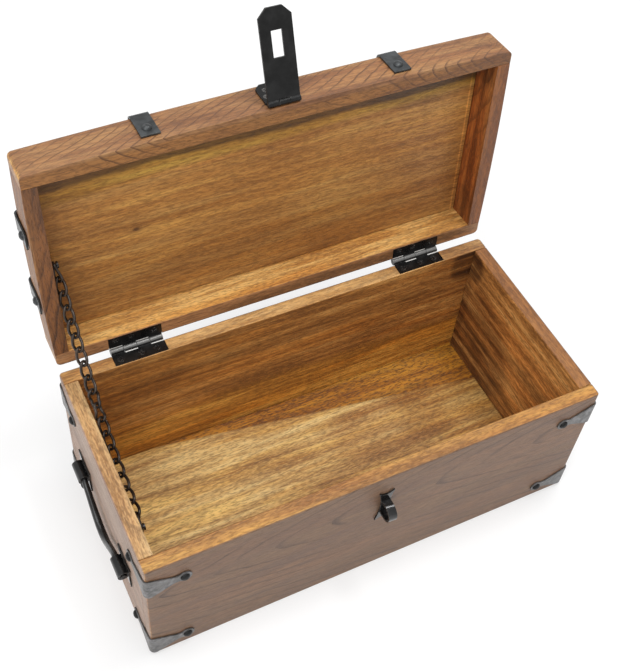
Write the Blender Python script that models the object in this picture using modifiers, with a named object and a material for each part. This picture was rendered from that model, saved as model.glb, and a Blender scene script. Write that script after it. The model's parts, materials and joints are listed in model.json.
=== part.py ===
"""Treasure chest with an open lid, iron fittings, two drop handles and a stay chain.

X runs along the chest, Y from its front to its back, Z up. The origin is the middle of the
underside. Lid pieces are laid out with the lid shut and then turn open with their pivot.
"""

import math

import bmesh
import bpy
from mathutils import Matrix, Vector

# Clearances
SEAT_GAP = 0.0003          # between a piece and what it lies on
RIM_GAP = 0.0004           # between the two rims when the lid is shut
PIN_CLEARANCE = 0.0001     # around a pin or a handle end in its bore
SIDE_CLEARANCE = 0.0003    # between neighbouring knuckles
TAB_INSET = 0.0002         # how much a knuckle stands past its tab at each end

# Box of boards
BOX_LENGTH = 0.380
BOX_DEPTH = 0.184
RIM_HEIGHT = 0.1335
BOARD = 0.0115
FLOOR_BOARD = 0.005
CORNER_RADIUS = 0.003
ARRIS = 0.0005

# Lid frame and panel
LID_HEIGHT = 0.0317
LID_RAIL = 0.0115
LID_PANEL = 0.007
LID_OVERHANG = 0.0015      # how far the middle of the front rail stands past the box
LID_FRONT_BOW = 0.0025
LID_END_BOW = 0.0015
LID_CORNER_RADIUS = 0.004
LID_ROUNDOVER = 0.003
LID_OPEN = math.radians(94.3)

# Butt hinges
HINGE_FROM_END = 0.064     # from each end of the chest to the hinge's middle
HINGE_WIDTH = 0.043
HINGE_OFFSET = 0.0036      # from the back of the box to the pin
HINGE_KNUCKLE = 0.0029
HINGE_PIN = 0.0012
HINGE_LEAF = 0.0014
HINGE_LEAF_DEPTH = 0.0105
KNUCKLES = 4

# Hasp and staple
HASP_PLATE_WIDTH = 0.025
HASP_PLATE_TOP = 0.029     # above the rim
HASP_PLATE = 0.0015
HASP_PLATE_CHAMFER = 0.0045
HASP_PLATE_RISE = 0.0005   # of the plate's lower edge, from its tab to its sides
HASP_KNUCKLE = 0.0023
HASP_PIN = 0.00105
HASP_AXIS_HEIGHT = 0.003   # above the rim
HASP_TAB = 0.008
HASP_TAB_FOOT = 0.0014     # above the pin's middle, inside the knuckle
HASP_STRAP_WIDTH = 0.0248
HASP_STRAP_LENGTH = 0.0656
HASP_STRAP = 0.0016
HASP_CHAMFER = 0.0064
HASP_RAISED = math.radians(107.5)
STAPLE_WIDTH = 0.007
STAPLE_STRIP = 0.0018
STAPLE_HEIGHT = 0.0168
STAPLE_REACH = 0.0150
STAPLE_DROP = 0.0405       # from the hasp's pin down to the staple's middle
STAPLE_ROOT = 0.008        # how far its legs go into the board
SLOT_CLEARANCE = 0.0006
SLOT_END_CLEARANCE = 0.0010
STAPLE_PLATE_WIDTH = 0.013
STAPLE_PLATE_HEIGHT = 0.038

# Hollow-sided plates and domed nails
MOUNT_PLATE = 0.0012
PLATE_HOLLOW = 0.0030
NAIL_RADIUS = 0.0034
NAIL_HEIGHT = 0.0022

# Corner brackets
BRACKET = 0.0010
BRACKET_ARM = 0.029        # from the corner to the middle of the round end
BRACKET_NECK = 0.0215
BRACKET_SHOULDER = 0.0035  # how far the full height goes
BRACKET_HEIGHT = 0.023
BRACKET_NECK_HEIGHT = 0.0075
BRACKET_END_RADIUS = 0.0055
BRACKET_BELOW_RIM = 0.0240
BRACKET_ABOVE_FLOOR = 0.0145

# Lid straps
STRAP = 0.0014
STRAP_WIDTH = 0.014
STRAP_END_HEIGHT = 0.0055  # above the rim
CROSS_STRAP_FROM_END = 0.093
LONG_STRAP_PLACE = 0.032
STRAP_BEND = 0.0036
STRAP_RAMP = 0.005
STRAP_NAIL_INSET = 0.008

# Drop handles
HANDLE_HEIGHT = 0.064
HANDLE_SPREAD = 0.045      # from the middle of the end to each sleeve
SLEEVE_RADIUS = 0.0046
SLEEVE_LENGTH = 0.017
MOUNT_WIDTH = 0.026
MOUNT_HEIGHT = 0.024
BAIL_END_RADIUS = 0.0025
BAIL_MID_RADIUS = 0.0031
BAIL_DROP = 0.022
BAIL_PAST_SLEEVE = 0.001
BAIL_FULLNESS = 0.75

# Stay chain, in the plane of Y and Z beside the left end
CHAIN_INSET = 0.0036       # from the inner face of the left end to the chain
CHAIN_LINKS = 19
CHAIN_SLACK = 0.042        # extra length over the straight distance
LINK_WIRE = 0.0010
LINK_PLAY = 0.0005          # between the wires of two links that pull
LINK_HALF_WIDTH = 0.0029
LINK_ROLL = math.radians(45)     # one way at one end, the other way at the other
END_LINK_HALF_WIDTH = 0.0036
END_LINK_PLAY = 0.0010
LID_LINKS = 10             # that hang from the lid; the others hang from the box
WHOLE_TWIST = (0, 1)       # the shares of a link's length where its twist starts and ends
LID_SIDE_TWIST = (0, 0.6)  # of the last link that hangs from the lid
BOX_SIDE_TWIST = (0.4, 1)  # of the link after it
END_LINK_TWIST = (0, 0.35)
LID_SCREW = (0.005, 0.0155)      # Y, and height above the rim with the lid shut
BOX_SCREW = (-0.0416, -0.0302)   # Y, and height from the rim
SCREW_SHANK = 0.0009
SCREW_HEAD = 0.0028
SCREW_HEAD_THICKNESS = 0.0014
SCREW_DEPTH = 0.008
SCREW_HOLE_CLEARANCE = 0.0003
SCREW_HEAD_PLAY = 0.0008   # between its head and the link on it

# Facets
WELD = 0.000001
FLAT_ANGLE = math.radians(0.05)
ARC_STEPS = 6
ROUND_SIDES = 24
NAIL_SIDES = 12
LINK_SIDE_STEPS = 3

# Colours as linear RGB, roughness and metallic
BOX_WOOD = ((0.26, 0.17, 0.11), 0.6, 0.0)
INNER_WOOD = ((0.42, 0.22, 0.09), 0.55, 0.0)
LID_WOOD = ((0.33, 0.17, 0.09), 0.55, 0.0)
BLACK_IRON = ((0.012, 0.012, 0.013), 0.35, 0.9)
OLD_IRON = ((0.045, 0.050, 0.056), 0.5, 0.9)
CHAIN_IRON = ((0.050, 0.043, 0.037), 0.4, 0.9)

# Places that follow from the sizes
HALF_LENGTH = BOX_LENGTH / 2
HALF_DEPTH = BOX_DEPTH / 2
BOX_TOP = RIM_HEIGHT - RIM_GAP / 2
LID_BOTTOM = RIM_HEIGHT + RIM_GAP / 2
LID_TOP = RIM_HEIGHT + LID_HEIGHT
HINGE_AXIS = Vector((0, HALF_DEPTH + HINGE_OFFSET, RIM_HEIGHT))
LID_FRONT = HALF_DEPTH + LID_OVERHANG
LID_HALF_LENGTH = HALF_LENGTH + LID_END_BOW / 2
HASP_AXIS = Vector((0, -(LID_FRONT + SEAT_GAP + HASP_KNUCKLE), RIM_HEIGHT + HASP_AXIS_HEIGHT))
STAPLE_CENTRE = HASP_AXIS.z - STAPLE_DROP
SLEEVE_OFFSET = SEAT_GAP + SLEEVE_RADIUS
CHAIN_X = -(HALF_LENGTH - BOARD - CHAIN_INSET)
HINGE_PLACE = HALF_LENGTH - HINGE_FROM_END
CROSS_STRAP_PLACE = HALF_LENGTH - CROSS_STRAP_FROM_END

PLAN = (0, 0, 0)
FRONT_VIEW = (math.pi / 2, 0, 0)
SIDE_VIEW = (math.pi / 2, 0, math.pi / 2)


def collection(name):
    """Return a new collection linked to the scene."""
    made = bpy.data.collections.new(name)
    bpy.context.scene.collection.children.link(made)
    return made


def paint(obj, finish):
    """Give the object a material of its own."""
    colour, roughness, metallic = finish
    made = bpy.data.materials.new(obj.name)
    made.use_nodes = True
    shader = made.node_tree.nodes["Principled BSDF"]
    shader.inputs["Base Color"].default_value = (*colour, 1)
    shader.inputs["Roughness"].default_value = roughness
    shader.inputs["Metallic"].default_value = metallic
    obj.data.materials.clear()
    obj.data.materials.append(made)
    return obj


def add(name, mesh, finish=None, place=(0, 0, 0), turn=PLAN):
    """Put a mesh in the scene: a part if it has a finish, otherwise a cutter."""
    obj = bpy.data.objects.new(name, mesh)
    obj.location = place
    obj.rotation_euler = turn
    if finish:
        PARTS.objects.link(obj)
        paint(obj, finish)
    else:
        CUTTERS.objects.link(obj)
        obj.hide_render = True
        obj.display_type = "WIRE"
    return obj


def mesh_of(build):
    """Return a mesh filled by a function that works on a bmesh."""
    bm = bmesh.new()
    build(bm)
    bmesh.ops.recalc_face_normals(bm, faces=bm.faces)
    mesh = bpy.data.meshes.new("mesh")
    bm.to_mesh(mesh)
    bm.free()
    return mesh


def block(low, high):
    """Return a box mesh between two corners."""
    low = Vector(low)
    high = Vector(high)
    size = high - low
    stretch = Matrix.Translation((low + high) / 2) @ Matrix.Diagonal((*size, 1))
    return mesh_of(lambda bm: bmesh.ops.create_cube(bm, size=1, matrix=stretch))


def rod(radius, length, axis, centre=(0, 0, 0), sides=ROUND_SIDES):
    """Return a round rod along the named axis."""
    turn = {"X": Matrix.Rotation(math.pi / 2, 4, "Y"), "Y": Matrix.Rotation(math.pi / 2, 4, "X")}[axis]
    at = Matrix.Translation(centre) @ turn

    def build(bm):
        bmesh.ops.create_cone(bm, cap_ends=True, segments=sides, radius1=radius, radius2=radius,
                              depth=length, matrix=at)
    return mesh_of(build)


def dome(outward):
    """Return the mesh of a flattened round nail head that rises along the outward axis."""
    scale = [NAIL_RADIUS * (1 - abs(part)) + NAIL_HEIGHT * abs(part) for part in outward]

    def build(bm):
        bmesh.ops.create_uvsphere(bm, u_segments=NAIL_SIDES, v_segments=NAIL_SIDES // 2, radius=1,
                                  matrix=Matrix.Diagonal((*scale, 1)))
    return mesh_of(build)


def curve_mesh(curve):
    """Return the welded mesh of a curve, and remove the curve."""
    obj = bpy.data.objects.new("curve", curve)
    bpy.context.scene.collection.objects.link(obj)
    shape = obj.evaluated_get(bpy.context.evaluated_depsgraph_get())
    mesh = bpy.data.meshes.new_from_object(shape)
    bpy.data.objects.remove(obj)
    bpy.data.curves.remove(curve)
    bm = bmesh.new()
    bm.from_mesh(mesh)
    bmesh.ops.remove_doubles(bm, verts=bm.verts, dist=WELD)
    bmesh.ops.dissolve_limit(bm, angle_limit=FLAT_ANGLE, verts=bm.verts, edges=bm.edges)
    bmesh.ops.recalc_face_normals(bm, faces=bm.faces)
    bm.to_mesh(mesh)
    bm.free()
    return mesh


def add_points(curve, points, closed, radii=None):
    """Add a poly spline to a curve."""
    spline = curve.splines.new("POLY")
    spline.points.add(len(points) - 1)
    for index, point in enumerate(points):
        spline.points[index].co = (*point, *([0] * (3 - len(point))), 1)
        if radii:
            spline.points[index].radius = radii[index]
    spline.use_cyclic_u = closed


def flat(outlines, thickness):
    """Return a plate of this thickness, centred on its plane, from closed outlines."""
    curve = bpy.data.curves.new("outline", "CURVE")
    curve.dimensions = "2D"
    curve.fill_mode = "BOTH"
    curve.extrude = thickness / 2
    for outline in outlines:
        add_points(curve, outline, True)
    return curve_mesh(curve)


def wire(points, radius, closed, sides_step, radii=None):
    """Return the mesh of a round wire along the points."""
    curve = bpy.data.curves.new("wire", "CURVE")
    curve.dimensions = "3D"
    curve.bevel_depth = radius
    curve.bevel_resolution = sides_step
    curve.use_fill_caps = not closed
    add_points(curve, points, closed, radii)
    return curve_mesh(curve)


def arc(centre, radius, start, end, steps=ARC_STEPS):
    """Return points on an arc, with angles in degrees."""
    angles = [math.radians(start + (end - start) * step / steps) for step in range(steps + 1)]
    return [(centre[0] + radius * math.cos(a), centre[1] + radius * math.sin(a)) for a in angles]


def bent_path(corners, radius):
    """Return a path through the corners with each inner one rounded."""
    path = [corners[0]]
    for before, corner, after in zip(corners, corners[1:], corners[2:]):
        here = Vector(corner)
        back = (Vector(before) - here).normalized()
        ahead = (Vector(after) - here).normalized()
        half = back.angle(ahead) / 2
        reach = radius / math.tan(half)
        centre = here + (back + ahead).normalized() * radius / math.sin(half)
        first = here + back * reach - centre
        sweep = first.angle_signed(here + ahead * reach - centre)
        for step in range(ARC_STEPS + 1):
            turned = Matrix.Rotation(-sweep * step / ARC_STEPS, 2) @ first
            path.append(tuple(centre + turned))
    path.append(corners[-1])
    return path


def ribbon(path, thickness):
    """Return the closed outline of a strip that follows a path at its middle."""
    points = [Vector(point) for point in path]
    sides = ([], [])
    for index, point in enumerate(points):
        before = points[max(index - 1, 0)]
        after = points[min(index + 1, len(points) - 1)]
        along_in = (point - before).normalized() if index else (after - point).normalized()
        along_out = (after - point).normalized() if index < len(points) - 1 else along_in
        mean = (along_in + along_out).normalized()
        reach = thickness / 2 / max(mean.dot(along_in), 0.5)
        normal = Vector((-mean.y, mean.x))
        sides[0].append(tuple(point + normal * reach))
        sides[1].append(tuple(point - normal * reach))
    return sides[0] + sides[1][::-1]


def boolean(obj, other, operation):
    """Add an exact Boolean modifier."""
    modifier = obj.modifiers.new(other.name, "BOOLEAN")
    modifier.operation = operation
    modifier.solver = "EXACT"
    modifier.object = other
    return obj


def cut(obj, mesh, place=(0, 0, 0), turn=PLAN):
    """Take a mesh away from a part."""
    return boolean(obj, add(obj.name + "_cut", mesh, None, place, turn), "DIFFERENCE")


def join(obj, mesh, place=(0, 0, 0), turn=PLAN):
    """Add a mesh to a part."""
    return boolean(obj, add(obj.name + "_join", mesh, None, place, turn), "UNION")


def keep(obj, mesh, place=(0, 0, 0), turn=PLAN):
    """Keep only what a part shares with a mesh."""
    return boolean(obj, add(obj.name + "_keep", mesh, None, place, turn), "INTERSECT")


def ease(obj, width=ARRIS, segments=1):
    """Break the sharp edges of a part."""
    modifier = obj.modifiers.new("ease", "BEVEL")
    modifier.width = width
    modifier.segments = segments
    modifier.limit_method = "ANGLE"
    modifier.angle_limit = math.radians(40)
    return obj


def round_over(obj, wanted, radius):
    """Round the edges of a part whose two ends both pass a test."""
    mesh = obj.data
    weights = mesh.attributes.new("bevel_weight_edge", "FLOAT", "EDGE")
    for edge in mesh.edges:
        ends = [mesh.vertices[index].co for index in edge.vertices]
        weights.data[edge.index].value = float(wanted(*ends))
    modifier = obj.modifiers.new("round over", "BEVEL")
    modifier.width = radius
    modifier.segments = 3
    modifier.limit_method = "WEIGHT"
    modifier.use_clamp_overlap = False
    return obj


def pivot(name, place, turn=0.0, carrier=None):
    """Return an empty on a joint's axis, which turns about X, and where it stood before."""
    empty = bpy.data.objects.new(name, None)
    empty.location = place
    empty.rotation_euler = (turn, 0, 0)
    empty.empty_display_size = 0.02
    PARTS.objects.link(empty)
    if carrier:
        hang(empty, carrier)
    PIVOT_PLACES[name] = Matrix.Translation(place)
    return empty


def hang(obj, carrier):
    """Let a piece turn with a pivot, from the place where it was laid out."""
    obj.parent = carrier
    obj.matrix_parent_inverse = PIVOT_PLACES[carrier.name].inverted()
    for modifier in obj.modifiers:
        if modifier.type == "BOOLEAN":
            hang(modifier.object, carrier)
    return obj


def board(name, finish, low, high):
    """Return a plain board with broken edges."""
    return ease(add(name, block(low, high), finish))


def long_board(name, finish, side):
    """Return the front or back board, whose two outer corners are round."""
    inner = side * (HALF_DEPTH - BOARD)
    round_y = side * (HALF_DEPTH - CORNER_RADIUS)
    round_x = HALF_LENGTH - CORNER_RADIUS
    right = [(round_x + CORNER_RADIUS * math.sin(a), round_y + side * CORNER_RADIUS * math.cos(a))
             for a in [math.pi / 2 * step / ARC_STEPS for step in range(ARC_STEPS + 1)]]
    left = [(-x, y) for x, y in reversed(right)]
    outline = [(-HALF_LENGTH, inner)] + left + right + [(HALF_LENGTH, inner)]
    obj = add(name, flat([outline], BOX_TOP), finish, (0, 0, BOX_TOP / 2))
    return ease(obj)


def make_box():
    """Make the five boards of the box."""
    front = long_board("box_front_board", BOX_WOOD, -1)
    back = long_board("box_back_board", BOX_WOOD, 1)
    inner_x = HALF_LENGTH - BOARD
    inner_y = HALF_DEPTH - BOARD - SEAT_GAP
    left = board("box_left_end", BOX_WOOD, (-HALF_LENGTH, -inner_y, 0), (-inner_x, inner_y, BOX_TOP))
    board("box_right_end", BOX_WOOD, (inner_x, -inner_y, 0), (HALF_LENGTH, inner_y, BOX_TOP))
    panel_x = inner_x - SEAT_GAP
    board("box_bottom", INNER_WOOD, (-panel_x, -inner_y, 0), (panel_x, inner_y, FLOOR_BOARD))
    for side in (-1, 1):
        cut(back, leaf_recess(side, BOX_TOP, -1))
    for leg in staple_legs():
        cut(front, leg)
    place = (-inner_x - SCREW_DEPTH / 2, BOX_SCREW[0], RIM_HEIGHT + BOX_SCREW[1])
    cut(left, screw_hole(), place)


def lid_front_outline():
    """Return the plan of the front rail, bowed along its face and round at its corners."""
    end_y = LID_FRONT - LID_FRONT_BOW
    inner_y = HALF_DEPTH - LID_RAIL
    straight = LID_HALF_LENGTH - LID_END_BOW
    reach = straight - LID_CORNER_RADIUS
    steps = 2 * ARC_STEPS
    face = [(reach * (2 * step / steps - 1), 0) for step in range(1, steps)]
    face = [(x, -(end_y + LID_FRONT_BOW * (1 - (x / reach) ** 2))) for x, _ in face]
    left = arc((-reach, -(end_y - LID_CORNER_RADIUS)), LID_CORNER_RADIUS, 180, 270)
    right = arc((reach, -(end_y - LID_CORNER_RADIUS)), LID_CORNER_RADIUS, 270, 360)
    return [(-straight, -inner_y)] + left + face + right + [(straight, -inner_y)]


def lid_end_outline(side):
    """Return the plan of a lid end rail, bowed along its outer face."""
    end_x = LID_HALF_LENGTH - LID_END_BOW
    inner_x = HALF_LENGTH - LID_RAIL
    reach = HALF_DEPTH - LID_RAIL - SEAT_GAP
    steps = 2 * ARC_STEPS
    face = [reach * (2 * step / steps - 1) for step in range(steps + 1)]
    bowed = [(side * (end_x + LID_END_BOW * (1 - (y / reach) ** 2)), y) for y in face]
    return [(side * inner_x, -reach)] + bowed + [(side * inner_x, reach)]


def lid_rail(name, outline):
    """Return a lid rail whose outer top edges are rounded over."""
    height = LID_TOP - LID_BOTTOM
    obj = add(name, flat([outline], height), LID_WOOD, (0, 0, LID_BOTTOM + height / 2))
    inner_x = HALF_LENGTH - LID_RAIL / 3
    inner_y = HALF_DEPTH - LID_RAIL / 3

    def outer_top(a, b):
        middle = (a + b) / 2
        outer = abs(middle.x) > inner_x or abs(middle.y) > inner_y
        return outer and min(a.z, b.z) > height / 2 - SEAT_GAP
    return round_over(obj, outer_top, LID_ROUNDOVER)


def make_lid(lid):
    """Make the frame and the panel of the lid."""
    inner_y = HALF_DEPTH - LID_RAIL
    inner_x = HALF_LENGTH - LID_RAIL
    front = lid_rail("lid_front_rail", lid_front_outline())
    straight = LID_HALF_LENGTH - LID_END_BOW
    reach = straight - LID_CORNER_RADIUS
    left_corner = arc((-reach, HALF_DEPTH - LID_CORNER_RADIUS), LID_CORNER_RADIUS, 180, 90)
    right_corner = arc((reach, HALF_DEPTH - LID_CORNER_RADIUS), LID_CORNER_RADIUS, 90, 0)
    back_outline = [(-straight, inner_y)] + left_corner + right_corner + [(straight, inner_y)]
    back = lid_rail("lid_back_rail", back_outline)
    for side in (-1, 1):
        cut(back, leaf_recess(side, LID_BOTTOM, 1))
    left = lid_rail("lid_left_rail", lid_end_outline(-1))
    right = lid_rail("lid_right_rail", lid_end_outline(1))
    place = (-inner_x - SCREW_DEPTH / 2, LID_SCREW[0], RIM_HEIGHT + LID_SCREW[1])
    cut(left, screw_hole(), place)
    low = (-inner_x + SEAT_GAP, -inner_y + SEAT_GAP, LID_TOP - LID_PANEL)
    panel = board("lid_top_panel", LID_WOOD, low, (-low[0], -low[1], LID_TOP))
    for obj in (front, back, left, right, panel):
        hang(obj, lid)


def leaf_recess(side, rim, upward):
    """Return the cutter that lets a hinge leaf into a rim; it is open at the back."""
    x = side * HINGE_PLACE
    half = HINGE_WIDTH / 2 + SEAT_GAP
    depth = HINGE_LEAF + SEAT_GAP
    front = HALF_DEPTH - HINGE_LEAF_DEPTH - SEAT_GAP
    levels = sorted((rim - upward * HINGE_KNUCKLE, rim + upward * depth))
    return block((x - half, front, levels[0]), (x + half, HINGE_AXIS.y, levels[1]))


def leaf_outline(centre, owner):
    """Return the plan of a leaf, with a tab at each knuckle that it owns."""
    half = HINGE_WIDTH / 2
    pitch = HINGE_WIDTH / KNUCKLES
    tab = HINGE_AXIS.y
    notch = HINGE_AXIS.y - HINGE_KNUCKLE - SIDE_CLEARANCE
    front = HALF_DEPTH - HINGE_LEAF_DEPTH
    inset = SIDE_CLEARANCE / 2 + TAB_INSET
    outline = [(centre + half, notch), (centre + half, front), (centre - half, front),
               (centre - half, notch)]
    for index in range(owner, KNUCKLES, 2):
        start = centre - half + pitch * index + inset
        end = start + pitch - 2 * inset
        outline += [(start, notch), (start, tab), (end, tab), (end, notch)]
    return outline


def make_leaf(name, side, owner, rim, upward):
    """Return one leaf of a hinge, with its knuckles bored for the pin."""
    centre = side * HINGE_PLACE
    middle = rim + upward * HINGE_LEAF / 2
    leaf = add(name, flat([leaf_outline(centre, owner)], HINGE_LEAF), BLACK_IRON, (0, 0, middle))
    pitch = HINGE_WIDTH / KNUCKLES
    for index in range(owner, KNUCKLES, 2):
        x = centre - HINGE_WIDTH / 2 + pitch * (index + 0.5)
        place = (x, HINGE_AXIS.y, HINGE_AXIS.z)
        join(leaf, rod(HINGE_KNUCKLE, pitch - SIDE_CLEARANCE, "X"), place)
    bore = rod(HINGE_PIN + PIN_CLEARANCE, 2 * HINGE_WIDTH, "X")
    return cut(leaf, bore, (centre, HINGE_AXIS.y, HINGE_AXIS.z))


def make_hinges(lid):
    """Make two butt hinges, each of two leaves and a pin."""
    for name, side in (("left_hinge", -1), ("right_hinge", 1)):
        make_leaf(name + "_box_leaf", side, 0, BOX_TOP, -1)
        hang(make_leaf(name + "_lid_leaf", side, 1, LID_BOTTOM, 1), lid)
        place = (side * HINGE_PLACE, HINGE_AXIS.y, HINGE_AXIS.z)
        add(name + "_pin", rod(HINGE_PIN, HINGE_WIDTH, "X"), BLACK_IRON, place)


def make_hasp(lid):
    """Make the hasp: a plate on the lid, a slotted strap and the pin between them."""
    half = HASP_PLATE_WIDTH / 2
    tab = HASP_TAB / 2 - TAB_INSET
    foot = HASP_AXIS.z + HASP_TAB_FOOT
    top = RIM_HEIGHT + HASP_PLATE_TOP
    bottom = HASP_AXIS.z + HASP_KNUCKLE + SIDE_CLEARANCE
    chamfer = HASP_PLATE_CHAMFER
    side_bottom = bottom + HASP_PLATE_RISE
    outline = [(-half, side_bottom), (-tab, bottom), (-tab, foot), (tab, foot),
               (tab, bottom), (half, side_bottom), (half, top - chamfer), (half - chamfer, top),
               (chamfer - half, top), (-half, top - chamfer)]
    y = -(LID_FRONT + SEAT_GAP + HASP_PLATE / 2)
    plate = add("hasp_plate", flat([outline], HASP_PLATE), BLACK_IRON, (0, y, 0), FRONT_VIEW)
    join(plate, rod(HASP_KNUCKLE, HASP_TAB, "X"), HASP_AXIS)
    cut(plate, rod(HASP_PIN + PIN_CLEARANCE, 2 * HASP_TAB, "X"), HASP_AXIS)
    hang(plate, lid)

    pin = add("hasp_pin", rod(HASP_PIN, HASP_STRAP_WIDTH, "X"), BLACK_IRON, HASP_AXIS)
    hang(pin, lid)

    strap = make_hasp_strap()
    turned = pivot("hasp_pivot", HASP_AXIS, -HASP_RAISED, lid)
    hang(strap, turned)


def make_hasp_strap():
    """Return the hasp's strap, laid out hanging down from its pin."""
    half = HASP_STRAP_WIDTH / 2
    notch = HASP_TAB / 2 + SIDE_CLEARANCE
    throat = -(HASP_KNUCKLE + SIDE_CLEARANCE)
    end = -HASP_STRAP_LENGTH
    outline = [(-half, 0), (-half, end + HASP_CHAMFER), (HASP_CHAMFER - half, end),
               (half - HASP_CHAMFER, end), (half, end + HASP_CHAMFER), (half, 0),
               (notch, 0), (notch, throat), (-notch, throat), (-notch, 0)]
    slot_half = STAPLE_WIDTH / 2 + SLOT_CLEARANCE
    slot_reach = STAPLE_HEIGHT / 2 + SLOT_END_CLEARANCE
    slot = [(-slot_half, -STAPLE_DROP - slot_reach), (slot_half, -STAPLE_DROP - slot_reach),
            (slot_half, slot_reach - STAPLE_DROP), (-slot_half, slot_reach - STAPLE_DROP)]
    strap = add("hasp_strap", flat([outline, slot], HASP_STRAP), BLACK_IRON, HASP_AXIS, FRONT_VIEW)
    length = half - notch
    for side in (-1, 1):
        place = HASP_AXIS + Vector((side * (notch + length / 2), 0, 0))
        join(strap, rod(HASP_KNUCKLE, length, "X"), place)
    return cut(strap, rod(HASP_PIN + PIN_CLEARANCE, 2 * HASP_STRAP_WIDTH, "X"), HASP_AXIS)


def staple_legs():
    """Return the cutters for the two slots that the staple's legs go through."""
    half = STAPLE_WIDTH / 2 + SEAT_GAP
    back = -(HALF_DEPTH - STAPLE_ROOT - SEAT_GAP)
    front = -(HALF_DEPTH + STAPLE_REACH)
    cutters = []
    for side in (-1, 1):
        middle = STAPLE_CENTRE + side * (STAPLE_HEIGHT - STAPLE_STRIP) / 2
        reach = STAPLE_STRIP / 2 + SEAT_GAP
        cutters.append(block((-half, front, middle - reach), (half, back, middle + reach)))
    return cutters


def hollow_sided(width, height):
    """Return a four-cornered outline whose sides curve inwards."""
    corners = [(-width / 2, -height / 2), (width / 2, -height / 2),
               (width / 2, height / 2), (-width / 2, height / 2)]
    outline = []
    for start, end in zip(corners, corners[1:] + corners[:1]):
        start = Vector(start)
        end = Vector(end)
        inward = Vector((start.y - end.y, end.x - start.x)).normalized()
        for step in range(2 * ARC_STEPS):
            t = step / (2 * ARC_STEPS)
            outline.append(tuple(start.lerp(end, t) + inward * PLATE_HOLLOW * math.sin(math.pi * t)))
    return outline


def make_staple():
    """Make the staple's plate and its loop of flat strip."""
    y = -(HALF_DEPTH + SEAT_GAP + MOUNT_PLATE / 2)
    outline = hollow_sided(STAPLE_PLATE_WIDTH, STAPLE_PLATE_HEIGHT)
    place = (0, y, STAPLE_CENTRE)
    plate = add("staple_plate", flat([outline], MOUNT_PLATE), OLD_IRON, place, FRONT_VIEW)
    for leg in staple_legs():
        cut(plate, leg)
    radius = (STAPLE_HEIGHT - STAPLE_STRIP) / 2
    tip = HALF_DEPTH + STAPLE_REACH - STAPLE_STRIP / 2
    foot = HALF_DEPTH - STAPLE_ROOT
    bend = [(-(tip - radius) + y, z) for y, z in arc((0, 0), radius, 90, 270, 2 * ARC_STEPS)]
    path = [(-foot, radius)] + bend + [(-foot, -radius)]
    loop = flat([ribbon(path, STAPLE_STRIP)], STAPLE_WIDTH)
    add("staple_loop", loop, OLD_IRON, (0, 0, STAPLE_CENTRE), SIDE_VIEW)


def bracket_arm(level):
    """Return the outline of a bracket arm that starts past the corner and ends in a disc."""
    half = BRACKET_HEIGHT / 2 + SEAT_GAP
    neck = BRACKET_NECK_HEIGHT / 2
    opening = math.degrees(math.asin(neck / BRACKET_END_RADIUS))
    disc = arc((BRACKET_ARM, level), BRACKET_END_RADIUS, opening - 180, 180 - opening, 3 * ARC_STEPS)
    start = -2 * CORNER_RADIUS
    shoulder = BRACKET_SHOULDER
    lower = [(start, level - half), (shoulder, level - half), (BRACKET_NECK, level - neck)]
    upper = [(BRACKET_NECK, level + neck), (shoulder, level + half), (start, level + half)]
    return lower + disc + upper


def bracket_plan():
    """Return the plan of a bracket wrapped round the corner at the origin, arms along +X and +Y."""
    inner = CORNER_RADIUS + SEAT_GAP
    outer = inner + BRACKET
    reach = BRACKET_ARM + BRACKET_END_RADIUS + BRACKET
    centre = (CORNER_RADIUS, CORNER_RADIUS)
    outside = [(reach, -SEAT_GAP - BRACKET)] + arc(centre, outer, 270, 180) + [(-SEAT_GAP - BRACKET, reach)]
    inside = [(reach, -SEAT_GAP)] + arc(centre, inner, 270, 180) + [(-SEAT_GAP, reach)]
    return outside + inside[::-1]


def make_bracket(name, side_x, side_y, level):
    """Make a corner bracket with a domed nail at the end of each arm."""
    corner = Vector((side_x * HALF_LENGTH, side_y * HALF_DEPTH, 0))
    plan = [(corner.x - side_x * x, corner.y - side_y * y) for x, y in bracket_plan()]
    obj = add(name, flat([plan], BRACKET_HEIGHT), OLD_IRON, (0, 0, level))
    arm = bracket_arm(level)
    width = 4 * BRACKET_ARM
    front = [(corner.x - side_x * u, v) for u, v in arm]
    keep(obj, flat([front], width), (0, corner.y, 0), FRONT_VIEW)
    side = [(corner.y - side_y * u, v) for u, v in arm]
    keep(obj, flat([side], width), (corner.x, 0, 0), SIDE_VIEW)
    lift = SEAT_GAP + BRACKET
    nail_x = corner + Vector((-side_x * BRACKET_ARM, side_y * lift, level))
    nail_y = corner + Vector((side_x * lift, -side_y * BRACKET_ARM, level))
    join(obj, half_dome(Vector((0, side_y, 0))), nail_x)
    join(obj, half_dome(Vector((side_x, 0, 0))), nail_y)
    return obj


def half_dome(outward):
    """Return a nail head that starts half a bracket thick inside its plate."""
    mesh = dome(outward)
    bm = bmesh.new()
    bm.from_mesh(mesh)
    level = -outward * BRACKET / 2
    everything = list(bm.verts) + list(bm.edges) + list(bm.faces)
    cutting = bmesh.ops.bisect_plane(bm, geom=everything, plane_co=level, plane_no=outward,
                                     clear_inner=True)
    rim = [part for part in cutting["geom_cut"] if isinstance(part, bmesh.types.BMEdge)]
    bmesh.ops.edgeloop_fill(bm, edges=rim)
    bmesh.ops.recalc_face_normals(bm, faces=bm.faces)
    bm.to_mesh(mesh)
    bm.free()
    return mesh


def make_brackets():
    """Make the eight corner brackets."""
    levels = (("upper", RIM_HEIGHT - BRACKET_BELOW_RIM), ("lower", BRACKET_ABOVE_FLOOR))
    for depth_name, side_y in (("front", -1), ("back", 1)):
        for length_name, side_x in (("left", -1), ("right", 1)):
            for level_name, level in levels:
                name = "_".join((depth_name, length_name, level_name, "bracket"))
                make_bracket(name, side_x, side_y, level)


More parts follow.
